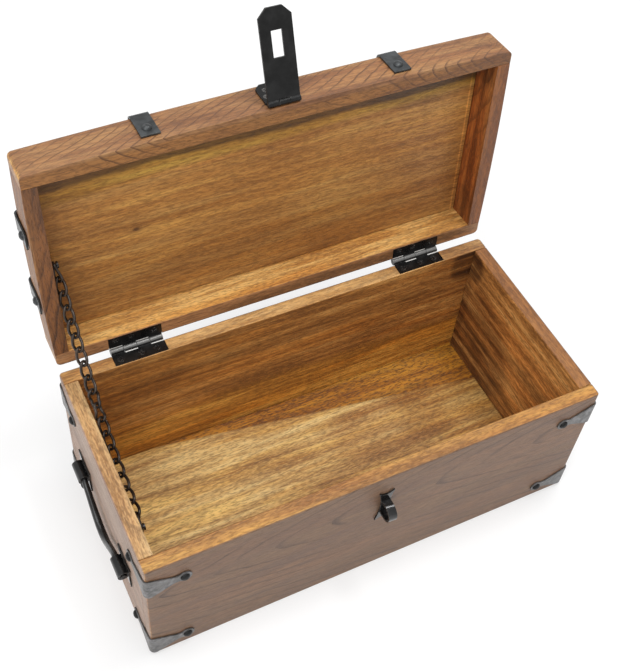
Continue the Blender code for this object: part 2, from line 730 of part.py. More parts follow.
def front_face_at(x):
    """Return how far the bowed front of the lid lies from the middle at this X."""
    reach = LID_HALF_LENGTH - LID_END_BOW - LID_CORNER_RADIUS
    return LID_FRONT - LID_FRONT_BOW * (x / reach) ** 2


def nail_on(obj, place, outward):
    """Join a domed nail to a strap at a point of its outer face."""
    join(obj, half_dome(Vector(outward)), place)


def make_straps(lid):
    """Make the two straps over the lid from front to back and the two along it."""
    lift = SEAT_GAP + STRAP / 2
    low = RIM_HEIGHT + STRAP_END_HEIGHT
    top = LID_TOP + lift
    nail_z = low + STRAP_NAIL_INSET
    face = SEAT_GAP + STRAP
    front = front_face_at(CROSS_STRAP_PLACE - STRAP_WIDTH / 2)
    for name, x in (("left_cross_strap", -CROSS_STRAP_PLACE), ("right_cross_strap", CROSS_STRAP_PLACE)):
        corners = [(-front - lift, low), (-front - lift, top), (HALF_DEPTH + lift, top),
                   (HALF_DEPTH + lift, low)]
        outline = ribbon(bent_path(corners, STRAP_BEND), STRAP)
        strap = add(name, flat([outline], STRAP_WIDTH), OLD_IRON, (x, 0, 0), SIDE_VIEW)
        nail_on(strap, (x, -front - face, nail_z), (0, -1, 0))
        nail_on(strap, (x, HALF_DEPTH + face, nail_z), (0, 1, 0))
        hang(strap, lid)
    rise = STRAP + SEAT_GAP
    for name, y in (("front_long_strap", -LONG_STRAP_PLACE), ("back_long_strap", LONG_STRAP_PLACE)):
        strap = add(name, flat([long_strap_outline(lift, low, top, rise)], STRAP_WIDTH), OLD_IRON,
                    (0, y, 0), FRONT_VIEW)
        for side in (-1, 1):
            nail_on(strap, (side * (LID_HALF_LENGTH + face), y, nail_z), (side, 0, 0))
            nail_on(strap, (side * CROSS_STRAP_PLACE, y, LID_TOP + face + rise), (0, 0, 1))
        hang(strap, lid)


def long_strap_outline(lift, low, top, rise):
    """Return the side view of a strap along the lid, which steps over the two cross straps."""
    end = LID_HALF_LENGTH + lift
    near = CROSS_STRAP_PLACE - STRAP_WIDTH / 2 - STRAP_RAMP / 2
    far = CROSS_STRAP_PLACE + STRAP_WIDTH / 2 + STRAP_RAMP / 2
    left = bent_path([(-end, low), (-end, top), (-far - STRAP_RAMP, top)], STRAP_BEND)
    step_up = [(-far, top + rise), (-near, top + rise), (STRAP_RAMP - near, top)]
    half = left + step_up
    return ribbon(half + [(-x, z) for x, z in reversed(half)], STRAP)


def bail_path():
    """Return the points of a hanging bail about its pivot axis, and a radius factor for each."""
    sleeve_out = HANDLE_SPREAD + SLEEVE_LENGTH / 2
    sleeve_in = HANDLE_SPREAD - SLEEVE_LENGTH / 2
    steps = 4 * ARC_STEPS
    points = [(0, -sleeve_out - BAIL_PAST_SLEEVE, 0), (0, -HANDLE_SPREAD, 0)]
    factors = [1, 1]
    for step in range(steps + 1):
        y = sleeve_in * (2 * step / steps - 1)
        hump = 0.5 * (1 + math.cos(math.pi * y / sleeve_in))
        points.append((0, y, -BAIL_DROP * hump ** BAIL_FULLNESS))
        factors.append(1 + (BAIL_MID_RADIUS / BAIL_END_RADIUS - 1) * hump)
    points += [(0, HANDLE_SPREAD, 0), (0, sleeve_out + BAIL_PAST_SLEEVE, 0)]
    factors += [1, 1]
    return points, factors


def make_handles():
    """Make a drop handle on each end: two sleeved mounts and the bail that hangs in them."""
    for name, side in (("left_handle", -1), ("right_handle", 1)):
        axis_x = side * (HALF_LENGTH + SLEEVE_OFFSET)
        for end_name, end in (("front", -1), ("back", 1)):
            y = end * HANDLE_SPREAD
            outline = hollow_sided(MOUNT_WIDTH, MOUNT_HEIGHT)
            x = side * (HALF_LENGTH + SEAT_GAP + MOUNT_PLATE / 2)
            mount = add(name + "_" + end_name + "_mount", flat([outline], MOUNT_PLATE), OLD_IRON,
                        (x, y, HANDLE_HEIGHT), SIDE_VIEW)
            centre = (axis_x, y, HANDLE_HEIGHT)
            join(mount, rod(SLEEVE_RADIUS, SLEEVE_LENGTH, "Y"), centre)
            cut(mount, rod(BAIL_END_RADIUS + PIN_CLEARANCE, 2 * SLEEVE_LENGTH, "Y"), centre)
        points, factors = bail_path()
        add(name + "_bail", wire(points, BAIL_END_RADIUS, False, 4, factors), OLD_IRON,
            (axis_x, 0, HANDLE_HEIGHT))


def screw_hole():
    """Return the cutter for a chain screw's hole, centred on its length."""
    radius = SCREW_SHANK + SCREW_HOLE_CLEARANCE
    return rod(radius, SCREW_DEPTH + 2 * SEAT_GAP, "X", sides=NAIL_SIDES)


def make_screw(name, y, z):
    """Return a round-headed screw that goes into the left side and holds the chain off it."""
    start = -(HALF_LENGTH - BOARD) - SCREW_DEPTH
    head = CHAIN_X + LINK_WIRE + SCREW_HEAD_PLAY
    length = head + SCREW_HEAD_THICKNESS / 2 - start
    shank = rod(SCREW_SHANK, length, "X", (start + length / 2, 0, 0), sides=NAIL_SIDES)
    screw = add(name, shank, BLACK_IRON, (0, y, z))
    head_rod = rod(SCREW_HEAD, SCREW_HEAD_THICKNESS, "X", sides=NAIL_SIDES)
    return join(screw, head_rod, (head + SCREW_HEAD_THICKNESS / 2, y, z))


def hanging_directions(start, end, pitch):
    """Return the angle of each link of a chain that hangs between two points.

    The slope of a hanging chain of equal links changes by an equal step from link to link.
    The mean slope and the step are found by Newton's method.
    """
    wanted = end - start

    def reach(mean, step):
        slopes = [mean + step * (index - (CHAIN_LINKS - 1) / 2) for index in range(CHAIN_LINKS)]
        parts = [Vector((-1, -slope)).normalized() for slope in slopes]
        return sum(parts, Vector((0, 0))) * pitch, slopes

    mean = wanted.y / wanted.x
    step = -1 / CHAIN_LINKS
    nudge = 1e-6
    for _ in range(50):
        here, slopes = reach(mean, step)
        miss = here - wanted
        by_mean = (reach(mean + nudge, step)[0] - here) / nudge
        by_step = (reach(mean, step + nudge)[0] - here) / nudge
        determinant = by_mean.x * by_step.y - by_mean.y * by_step.x
        mean -= (miss.x * by_step.y - miss.y * by_step.x) / determinant
        step -= (by_mean.x * miss.y - by_mean.y * miss.x) / determinant
    return [math.atan2(-slope, -1) for slope in slopes]


def link_points(reach_back, reach_on, half_width, rolls, twist):
    """Return the middle line of a link along +Y, rolled about it by one angle at each end."""
    far_bow = arc((reach_on - half_width, 0), half_width, -90, 90)
    near_bow = arc((half_width - reach_back, 0), half_width, 90, 270)
    flat_points = []
    for bow, following in ((far_bow, near_bow), (near_bow, far_bow)):
        side = [Vector(bow[-1]).lerp(Vector(following[0]), step / LINK_SIDE_STEPS)
                for step in range(1, LINK_SIDE_STEPS)]
        flat_points += bow + [tuple(point) for point in side]
    points = []
    for along, across in flat_points:
        place = (along + reach_back) / (reach_on + reach_back)
        share = min(1, max(0, (place - twist[0]) / (twist[1] - twist[0])))
        roll = rolls[0] + (rolls[1] - rolls[0]) * share
        points.append((across * math.sin(roll), along, across * math.cos(roll)))
    return points


def make_chain(lid):
    """Make the two chain screws and the links that hang between them."""
    lid_screw = (LID_SCREW[0], RIM_HEIGHT + LID_SCREW[1])
    hang(make_screw("lid_chain_screw", *lid_screw), lid)
    box_screw = (BOX_SCREW[0], RIM_HEIGHT + BOX_SCREW[1])
    make_screw("box_chain_screw", *box_screw)
    arm = Vector(lid_screw) - Vector((HINGE_AXIS.y, HINGE_AXIS.z))
    opened = Matrix.Rotation(-LID_OPEN, 2) @ arm
    start = Vector((HINGE_AXIS.y, HINGE_AXIS.z)) + opened
    end = Vector(box_screw)
    pitch = (end - start).length * (1 + CHAIN_SLACK) / CHAIN_LINKS
    half_gap = LINK_WIRE + LINK_PLAY / 2
    round_screw = SCREW_SHANK + SEAT_GAP + LINK_WIRE
    place = start
    for index, direction in enumerate(hanging_directions(start, end, pitch)):
        first = index == 0
        last = index == CHAIN_LINKS - 1
        reach_back = round_screw if first else half_gap
        reach_on = pitch + (round_screw + END_LINK_PLAY if last else half_gap)
        width = END_LINK_HALF_WIDTH if last else LINK_HALF_WIDTH
        rolls = (0 if first else LINK_ROLL, 0 if last else -LINK_ROLL)
        twists = {LID_LINKS - 1: LID_SIDE_TWIST, LID_LINKS: BOX_SIDE_TWIST, CHAIN_LINKS - 1: END_LINK_TWIST}
        points = link_points(reach_back, reach_on, width, rolls, twists.get(index, WHOLE_TWIST))
        name = "chain_link_{:02d}".format(index + 1)
        mesh = wire(points, LINK_WIRE, True, 2)
        add(name, mesh, CHAIN_IRON, (CHAIN_X, place.x, place.y), (direction, 0, 0))
        place = place + pitch * Vector((math.cos(direction), math.sin(direction)))


for old in list(bpy.data.objects):
    bpy.data.objects.remove(old)

PARTS = collection("treasure_chest")
CUTTERS = collection("cutters")
PIVOT_PLACES = {}

lid_pivot = pivot("lid_pivot", HINGE_AXIS, -LID_OPEN)
make_box()
make_lid(lid_pivot)
make_hinges(lid_pivot)
make_hasp(lid_pivot)
make_staple()
make_brackets()
make_straps(lid_pivot)
make_handles()
make_chain(lid_pivot)
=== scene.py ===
"""Visual model of a small treasure chest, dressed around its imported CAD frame."""

import json
import math

import bmesh
import bpy
from mathutils import Matrix, Vector


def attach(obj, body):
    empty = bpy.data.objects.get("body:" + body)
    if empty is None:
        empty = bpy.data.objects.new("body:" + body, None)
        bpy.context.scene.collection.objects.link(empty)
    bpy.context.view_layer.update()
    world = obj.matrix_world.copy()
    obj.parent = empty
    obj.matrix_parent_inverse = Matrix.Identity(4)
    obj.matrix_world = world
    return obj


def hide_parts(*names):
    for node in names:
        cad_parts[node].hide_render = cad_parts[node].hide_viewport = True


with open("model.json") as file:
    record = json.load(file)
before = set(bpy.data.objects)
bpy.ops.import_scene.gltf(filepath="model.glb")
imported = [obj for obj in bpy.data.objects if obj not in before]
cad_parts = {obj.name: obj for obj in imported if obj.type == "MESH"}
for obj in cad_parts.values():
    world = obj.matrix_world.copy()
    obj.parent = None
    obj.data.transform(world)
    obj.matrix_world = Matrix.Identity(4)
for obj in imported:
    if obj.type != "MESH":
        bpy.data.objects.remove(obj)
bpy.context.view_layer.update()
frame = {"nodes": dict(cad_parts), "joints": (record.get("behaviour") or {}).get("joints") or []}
NODES = frame["nodes"]

# Camera of the photograph, fitted to the corners of the box and the lid
CAMERA_PLACE = (-0.2747, -0.4190, 0.8078)
CAMERA_RIGHT = (0.89449, -0.44079, 0.07481)
CAMERA_UP = (0.30206, 0.71917, 0.62575)
CAMERA_BACK = (-0.32962, -0.53712, 0.77643)
CAMERA_LENS = 57.98
CAMERA_SENSOR = 36.0

# Sizes of the chest in metres, lid shut
HALF_LENGTH = 0.190
HALF_DEPTH = 0.092
RIM = 0.1335
LID_TOP = 0.1652
HINGE_AXIS = Vector((0, 0.0956, 0.1335))
LID_OPEN = math.radians(94.3)
HINGE_PLACE = 0.126
HINGE_WIDTH = 0.043
KNUCKLE_RADIUS = 0.0029


def lid_matrix():
    """Return the matrix from the shut lid's coordinates to the open lid's."""
    turn = Matrix.Rotation(-LID_OPEN, 4, "X")
    return Matrix.Translation(HINGE_AXIS) @ turn @ Matrix.Translation(-HINGE_AXIS)


def srgb(red, green, blue):
    """Return a linear colour from 8-bit sRGB numbers."""
    linear = []
    for part in (red, green, blue):
        value = part / 255
        linear.append(value / 12.92 if value <= 0.04045 else ((value + 0.055) / 1.055) ** 2.4)
    return (*linear, 1.0)


class Graph:
    """A material's node tree, with a short call for each kind of node."""

    def __init__(self, name):
        self.material = bpy.data.materials.new(name)
        self.material.use_nodes = True
        self.tree = self.material.node_tree
        self.tree.nodes.clear()
        self.shader = self.node("ShaderNodeBsdfPrincipled")
        output = self.node("ShaderNodeOutputMaterial")
        self.tree.links.new(self.shader.outputs["BSDF"], output.inputs["Surface"])

    def node(self, kind, **values):
        """Make a node and set its options."""
        made = self.tree.nodes.new(kind)
        for key, value in values.items():
            setattr(made, key, value)
        return made

    def feed(self, socket, value):
        """Link a socket to another, or set it to a value."""
        if isinstance(value, bpy.types.NodeSocket):
            self.tree.links.new(value, socket)
        else:
            socket.default_value = value

    def coordinates(self):
        """Return the object's own coordinates."""
        return self.node("ShaderNodeTexCoord").outputs["Object"]

    def mapping(self, vector, location, rotation=(0, 0, 0)):
        """Return a vector that is turned and moved."""
        made = self.node("ShaderNodeMapping")
        self.feed(made.inputs["Vector"], vector)
        made.inputs["Location"].default_value = location
        made.inputs["Rotation"].default_value = rotation
        return made.outputs["Vector"]

    def noise(self, vector, scale, detail, roughness=0.5):
        """Return a noise from 0 to 1."""
        made = self.node("ShaderNodeTexNoise")
        self.feed(made.inputs["Vector"], vector)
        made.inputs["Scale"].default_value = scale
        made.inputs["Detail"].default_value = detail
        made.inputs["Roughness"].default_value = roughness
        return made.outputs["Fac"]

    def math(self, operation, first, second=0.0, third=0.0, clamp=False):
        """Return the result of one step of arithmetic."""
        made = self.node("ShaderNodeMath", operation=operation, use_clamp=clamp)
        self.feed(made.inputs[0], first)
        self.feed(made.inputs[1], second)
        self.feed(made.inputs[2], third)
        return made.outputs[0]

    def split(self, vector):
        """Return a vector's three numbers."""
        made = self.node("ShaderNodeSeparateXYZ")
        self.feed(made.inputs[0], vector)
        return made.outputs

    def join(self, x, y, z):
        """Return the vector of three numbers."""
        made = self.node("ShaderNodeCombineXYZ")
        for socket, value in zip(made.inputs, (x, y, z)):
            self.feed(socket, value)
        return made.outputs[0]

    def step(self, value, low, high, to_low=0.0, to_high=1.0):
        """Return a soft step between two levels of a value."""
        made = self.node("ShaderNodeMapRange", interpolation_type="SMOOTHSTEP")
        self.feed(made.inputs["Value"], value)
        made.inputs["From Min"].default_value = low
        made.inputs["From Max"].default_value = high
        made.inputs["To Min"].default_value = to_low
        made.inputs["To Max"].default_value = to_high
        return made.outputs["Result"]

    def mix(self, amount, first, second, blend="MIX"):
        """Return one colour mixed with another by an amount."""
        made = self.node("ShaderNodeMix", data_type="RGBA", blend_type=blend)
        self.feed(made.inputs[0], amount)
        self.feed(made.inputs[6], first)
        self.feed(made.inputs[7], second)
        return made.outputs[2]

    def ramp(self, value, *stops):
        """Return a colour that runs through stops of (place, colour)."""
        made = self.node("ShaderNodeValToRGB")
        self.feed(made.inputs[0], value)
        elements = made.color_ramp.elements
        while len(elements) < len(stops):
            elements.new(0.5)
        for element, (place, colour) in zip(elements, stops):
            element.position = place
            element.color = colour
        return made.outputs[0]

    def bump(self, height, distance, strength):
        """Let a height bend the surface's normals."""
        made = self.node("ShaderNodeBump")
        made.inputs["Strength"].default_value = strength
        made.inputs["Distance"].default_value = distance
        self.feed(made.inputs["Height"], height)
        self.feed(self.shader.inputs["Normal"], made.outputs[0])


# Woods
# Each shade is a share of the surface's middle colour and how much redder it is
RING_SHADE = (0.38, 0.12)
COMB_SHADE = (0.55, 0.06)
FLECK_SHADE = (0.30, 0.12)
LIGHT_FLECK_SHADE = (1.6, -0.03)
RING_END = 0.97
STREAK_SHARE = 0.65
KNOT_REACH = 0.010
KNOT_HALO = 0.35
KNOT_STRENGTH = 0.75
KNOT = srgb(74, 42, 22)
WOOD_ROUGHNESS = 0.42
WOOD_RELIEF = 0.00025


class Tone:
    """The look of one wood surface.

    It holds the colours of the dark, middle and light streaks, a tint that part of them has, the
    strength of that tint, of the ring lines and of the flecks, and how far apart the streaks lie.
    """

    def __init__(self, dark, middle, light, tint, tinted, lines, flecks, spread=0.075):
        self.dark, self.middle, self.light = (srgb(*colour) for colour in (dark, middle, light))
        self.tint = (*tint, 1.0)
        self.tinted = tinted
        self.lines = lines
        self.flecks = flecks
        self.spread = spread

    def shade(self, factor, redden):
        """Return the middle colour made lighter or darker, and redder by an amount."""
        red, green, blue = (part * factor for part in self.middle[:3])
        return (red, green * (1 - redden), blue * (1 - 1.5 * redden), 1.0)


def lid_coordinates(graph):
    """Return coordinates of the shut lid for a piece of the open one."""
    place = HINGE_AXIS - Matrix.Rotation(LID_OPEN, 4, "X") @ HINGE_AXIS
    return graph.mapping(graph.coordinates(), location=place, rotation=(LID_OPEN, 0, 0))


def distance_to(graph, vector, centre, stretch=(1, 1, 1)):
    """Return the distance from a point, shorter along the axes that are stretched."""
    moved = graph.node("ShaderNodeVectorMath", operation="SUBTRACT")
    graph.feed(moved.inputs[0], vector)
    moved.inputs[1].default_value = centre
    scaled = graph.node("ShaderNodeVectorMath", operation="DIVIDE")
    graph.feed(scaled.inputs[0], moved.outputs[0])
    scaled.inputs[1].default_value = stretch
    length = graph.node("ShaderNodeVectorMath", operation="LENGTH")
    graph.feed(length.inputs[0], scaled.outputs[0])
    return length.outputs["Value"]


def wood(name, grain, on_lid, tone, seed, faces, heart, taper=0.05, ring=0.006, wave=0.014,
         late=0.65, patches=(), bands=(), knots=(), stains=()):
    """Return a wood whose rings, streaks and flecks run through the whole board.

    grain names the axes along the fibres, across the face and through it.
    heart is where the middle of the rings lies across and through the board. The rings widen by
    taper along it, lie ring apart, wave by wave, and each has its line from the share late on.
    tone is the look inside the board, with bands and patches on it. Each of bands is (axis, place,
    tilt, width, shade, strength) and each of patches (centre, size, shade, strength).
    Each of faces is (tone, axis, low, high) and maybe a tilt: another look, which takes over
    between two levels of an axis that tilt by a share of the distance along the grain.
    stains are patches over the faces too. Each of knots is (centre, size, strength).
    """
    graph = Graph(name)
    vector = lid_coordinates(graph) if on_lid else graph.coordinates()
    along, across, through = (graph.split(vector)["XYZ".index(axis)] for axis in grain)

    def field(stretch, fine, detail, roughness=0.5):
        """Return a noise with so many waves a metre along and across the fibres."""
        spread = graph.join(graph.math("MULTIPLY", along, stretch),
                            graph.math("MULTIPLY", across, fine),
                            graph.math("MULTIPLY", through, fine))
        shifted = graph.mapping(spread, location=(seed, seed * 1.7, seed * 0.6))
        return graph.noise(shifted, 1.0, detail, roughness)

    def level_of(axis, tilt):
        """Return the place along an axis, tilted along the grain."""
        return graph.math("MULTIPLY_ADD", along, tilt, graph.split(vector)["XYZ".index(axis)])

    warp = graph.math("MULTIPLY_ADD", field(5, 9, 2.0), 2 * wave, -wave)
    wobble = graph.math("MULTIPLY_ADD", field(22, 70, 2.0), 0.0050, -0.0025)
    side = graph.math("ADD", graph.math("SUBTRACT", across, heart[0]), warp)
    deep = graph.math("SUBTRACT", through, heart[1])
    squares = graph.math("ADD", graph.math("MULTIPLY", side, side),
                         graph.math("MULTIPLY", deep, deep))
    radius = graph.math("ADD", graph.math("SQRT", squares), wobble)
    radius = graph.math("MULTIPLY_ADD", along, taper, radius)
    knot_dark = 0.0
    for centre, size, strength in knots:
        near = distance_to(graph, vector, centre, size)
        pushed = graph.step(near, 2.2, 0.0)
        radius = graph.math("MULTIPLY_ADD", pushed, KNOT_REACH * strength, radius)
        core = graph.step(near, 1.0, 0.2)
        halo = graph.step(near, 3.0, 0.8)
        knot_dark = graph.math("MULTIPLY_ADD", core, strength, knot_dark)
        knot_dark = graph.math("MULTIPLY_ADD", halo, KNOT_HALO * strength, knot_dark)
    rings = graph.math("FRACT", graph.math("DIVIDE", radius, ring))
    broken = graph.step(field(9, 45, 2.0), 0.38, 0.60)
    line = graph.math("MULTIPLY", graph.step(rings, late, RING_END), broken)

    streaks = field(7, 120, 4.0, 0.68)
    cloud = field(9, 26, 3.0, 0.55)
    hue = field(4, 55, 2.0)
    comb = field(60, 620, 3.0, 0.65)
    fleck = field(190, 780, 2.0, 0.6)
    mixed = graph.math("ADD", graph.math("MULTIPLY", streaks, STREAK_SHARE),
                       graph.math("MULTIPLY", cloud, 1 - STREAK_SHARE))
    dark_flecks = graph.step(fleck, 0.50, 0.63)
    light_flecks = graph.step(fleck, 0.48, 0.36)

    def coloured(look):
        """Return the colour of a surface in one tone."""
        colour = graph.ramp(mixed, (0.5 - look.spread, look.dark), (0.5, look.middle),
                            (0.5 + look.spread, look.light))
        tinted = graph.step(hue, 0.45, 0.58, 0.0, look.tinted)
        colour = graph.mix(tinted, colour, look.tint, "MULTIPLY")
        lined = graph.math("MULTIPLY", line, 2.0 * look.lines, clamp=True)
        colour = graph.mix(lined, colour, look.shade(*RING_SHADE))
        combed = graph.step(comb, 0.38, 0.58, 0.50, 0.0)
        colour = graph.mix(combed, colour, look.shade(*COMB_SHADE))
        flecked = graph.math("MULTIPLY", dark_flecks, look.flecks)
        colour = graph.mix(flecked, colour, look.shade(*FLECK_SHADE))
        flecked = graph.math("MULTIPLY", light_flecks, 0.6 * look.flecks)
        return graph.mix(flecked, colour, look.shade(*LIGHT_FLECK_SHADE))

    def spotted(under, spots):
        """Return a colour with darker or lighter spots that have ragged edges."""
        for centre, size, shade, strength in spots:
            near = graph.step(distance_to(graph, vector, centre, size), 1.15, 0.75)
            ragged = graph.math("MULTIPLY", near, graph.step(mixed, 0.62, 0.38, 0.55, 1.0))
            amount = graph.math("MULTIPLY", ragged, strength, clamp=True)
            under = graph.mix(amount, under, shade, "MULTIPLY")
        return under

    colour = coloured(tone)
    for axis, place, tilt, width, shade, strength in bands:
        level = graph.math("MULTIPLY_ADD", cloud, width, level_of(axis, tilt))
        away = graph.math("ABSOLUTE", graph.math("SUBTRACT", level, place + 0.5 * width))
        amount = graph.step(away, width, 0.5 * width, 0.0, strength)
        colour = graph.mix(amount, colour, shade, "MULTIPLY")
    colour = spotted(colour, patches)
    for other, axis, low, high, *tilt in faces:
        level = level_of(axis, tilt[0] if tilt else 0.0)
        colour = graph.mix(graph.step(level, low, high), colour, coloured(other))
    colour = spotted(colour, stains)
    if knots:
        amount = graph.math("MULTIPLY", knot_dark, KNOT_STRENGTH, clamp=True)
        colour = graph.mix(amount, colour, KNOT)
    graph.feed(graph.shader.inputs["Base Color"], colour)
    rough = graph.math("MULTIPLY_ADD", streaks, 0.25, WOOD_ROUGHNESS)
    graph.feed(graph.shader.inputs["Roughness"], rough)
    height = graph.math("MULTIPLY", comb, 0.35)
    height = graph.math("MULTIPLY_ADD", dark_flecks, -0.8, height)
    height = graph.math("MULTIPLY_ADD", line, -0.3, height)
    graph.bump(height, WOOD_RELIEF, 0.7)
    return graph.material


# Each board's looks, by the surface that shows them
OUTSIDE = Tone((99, 70, 49), (115, 86, 62), (130, 99, 73),
               (1.06, 0.97, 0.94), 0.7, 0.50, 0.20, 0.14)
# The left ends' outside is a paler copy of OUTSIDE: a painted sheen of the light that falls from
# the left
LIT_LEFT_OUTSIDE = Tone((138, 111, 95), (158, 133, 115), (176, 151, 133),
                    (1.06, 0.97, 0.93), 0.7, 0.30, 0.20, 0.12)
LID_OUTSIDE = Tone((109, 69, 38), (137, 93, 56), (157, 115, 72),
                   (1.0, 0.90, 0.84), 0.8, 0.50, 0.30)
LID_RIM = Tone((105, 64, 30), (134, 89, 44), (154, 106, 56),
               (1.0, 0.95, 0.88), 0.8, 0.50, 0.40)
BACK_LID_RIM = Tone((116, 80, 48), (148, 106, 68), (172, 128, 88),
                    (1.04, 0.92, 0.80), 0.8, 0.30, 0.40)
LEFT_LID_RIM = Tone((83, 49, 21), (106, 66, 33), (127, 82, 43),
                    (1.04, 0.92, 0.80), 0.8, 0.50, 0.40)
RIGHT_LID_RIM = Tone((113, 65, 26), (137, 83, 35), (153, 95, 44),
                     (1.0, 0.92, 0.86), 0.7, 0.20, 0.28)
FRONT_RIM = Tone((138, 91, 39), (171, 122, 60), (193, 146, 75),
                 (1.05, 0.92, 0.76), 0.8, 0.25, 0.40)
LEFT_RIM = Tone((145, 109, 67), (180, 142, 95), (201, 168, 118),
                (1.05, 0.94, 0.82), 0.8, 0.30, 0.45)
RIGHT_RIM = Tone((116, 71, 30), (140, 90, 43), (155, 104, 54),
                 (1.02, 0.92, 0.84), 0.7, 0.18, 0.30)
BACK_RIM = Tone((162, 115, 64), (190, 144, 85), (208, 166, 108),
                (1.03, 0.92, 0.80), 0.8, 0.20, 0.35)
BACK_INSIDE = Tone((125, 80, 40), (178, 122, 61), (211, 158, 89),
                   (1.08, 0.90, 0.62), 0.9, 0.20, 0.42)
RIGHT_INSIDE = Tone((131, 85, 41), (195, 137, 73), (228, 175, 104),
                    (1.05, 0.82, 0.60), 0.8, 0.30, 0.50)
FLOOR = Tone((147, 104, 52), (191, 153, 92), (221, 191, 128),
             (1.06, 0.96, 0.68), 0.9, 0.20, 0.50, 0.10)
REAR_FLOOR = Tone((98, 53, 6), (149, 96, 17), (183, 130, 38),
                  (1.05, 0.92, 0.58), 0.8, 0.20, 0.75)
LID_PANEL = Tone((143, 93, 42), (180, 128, 66), (206, 158, 87),
                 (1.02, 0.92, 0.74), 0.8, 0.15, 0.36, 0.12)
BACK_RAIL_INSIDE = Tone((160, 105, 46), (197, 145, 76), (224, 181, 110),
                        (1.05, 0.90, 0.66), 0.8, 0.25, 0.45)
RIGHT_RAIL_INSIDE = Tone((104, 55, 21), (149, 88, 40), (176, 114, 58),
                         (1.10, 0.86, 0.60), 0.9, 0.35, 0.35)

# Shades that multiply a board's colour, in linear light
# Painted shade for inside corners
CORNER_SHADE = (0.30, 0.26, 0.24, 1)
# Darker painted shade for the box's inside corner under the rim
DEEP_CORNER_SHADE = (0.20, 0.16, 0.15, 1)
# Painted shadow that a rim casts on the surface below it
RIM_SHADOW = (0.20, 0.16, 0.15, 1)
HEARTWOOD = (0.34, 0.27, 0.23, 1)
DARK_HEARTWOOD = (0.25, 0.19, 0.17, 1)
DARK_STREAK = (0.72, 0.66, 0.62, 1)
DIM = (0.80, 0.80, 0.80, 1)
DULL = (0.88, 0.80, 0.74, 1)
# Painted shade that the front board casts on the floor next to it
FRONT_BOARD_SHADE = (0.72, 0.62, 0.52, 1)
YELLOWED = (0.82, 0.69, 0.40, 1)
RIM_STAIN = (0.56, 0.50, 0.50, 1)
LOW_SHADE = (0.78, 0.73, 0.70, 1)
OLIVE = (0.98, 1.06, 0.62, 1)
DARK_OLIVE = (0.50, 0.48, 0.42, 1)
AMBER = (1.25, 1.30, 0.85, 1)
BLEACHED = (1.15, 1.18, 1.18, 1)
PALE = (1.7, 1.65, 1.6, 1)
SEAM = (0.55, 0.48, 0.42, 1)

# Levels of the boards' surfaces, lid shut
FRONT_FACE = -HALF_DEPTH + 0.0012
BACK_FACE = HALF_DEPTH - 0.0012
END_FACE = HALF_LENGTH - 0.0012
SKIN = 0.0008
BOX_RIM = RIM - 0.0010
LID_RIM_LEVEL = RIM + 0.0014
BACK_WALL = 0.080
RIGHT_WALL = 0.178
FLOOR_TOP = 0.005
PANEL = 0.158
PANEL_TOP = -0.062
REAR_PLANK = 0.0610
REAR_PLANK_TILT = 0.15

BACK_OUTSIDE = (OUTSIDE, "Y", BACK_FACE, BACK_FACE + SKIN)
# The outside faces of the left ends carry that painted sheen
LIT_LEFT_END_OUTSIDE = (LIT_LEFT_OUTSIDE, "X", -END_FACE, -END_FACE - SKIN)
RIGHT_END_OUTSIDE = (OUTSIDE, "X", END_FACE, END_FACE + SKIN)
LID_TOP_OUTSIDE = (LID_OUTSIDE, "Z", LID_TOP - 0.0012, LID_TOP - 0.0004)
LID_LEFT_OUTSIDE = (LID_OUTSIDE, "X", -END_FACE, -END_FACE - SKIN)
LID_RIGHT_OUTSIDE = (LID_OUTSIDE, "X", END_FACE, END_FACE + SKIN)
# The lid's front rail is bowed, so its face reaches further back at its ends
LID_FRONT_OUTSIDE = (LID_OUTSIDE, "Y", FRONT_FACE + 0.002, FRONT_FACE)


def box_rim(tone):
    """Return the face on top of a board of the box."""
    return (tone, "Z", BOX_RIM, BOX_RIM + SKIN)


def lid_rim(tone):
    """Return the face under a rail of the shut lid."""
    return (tone, "Z", LID_RIM_LEVEL, LID_RIM_LEVEL - SKIN)


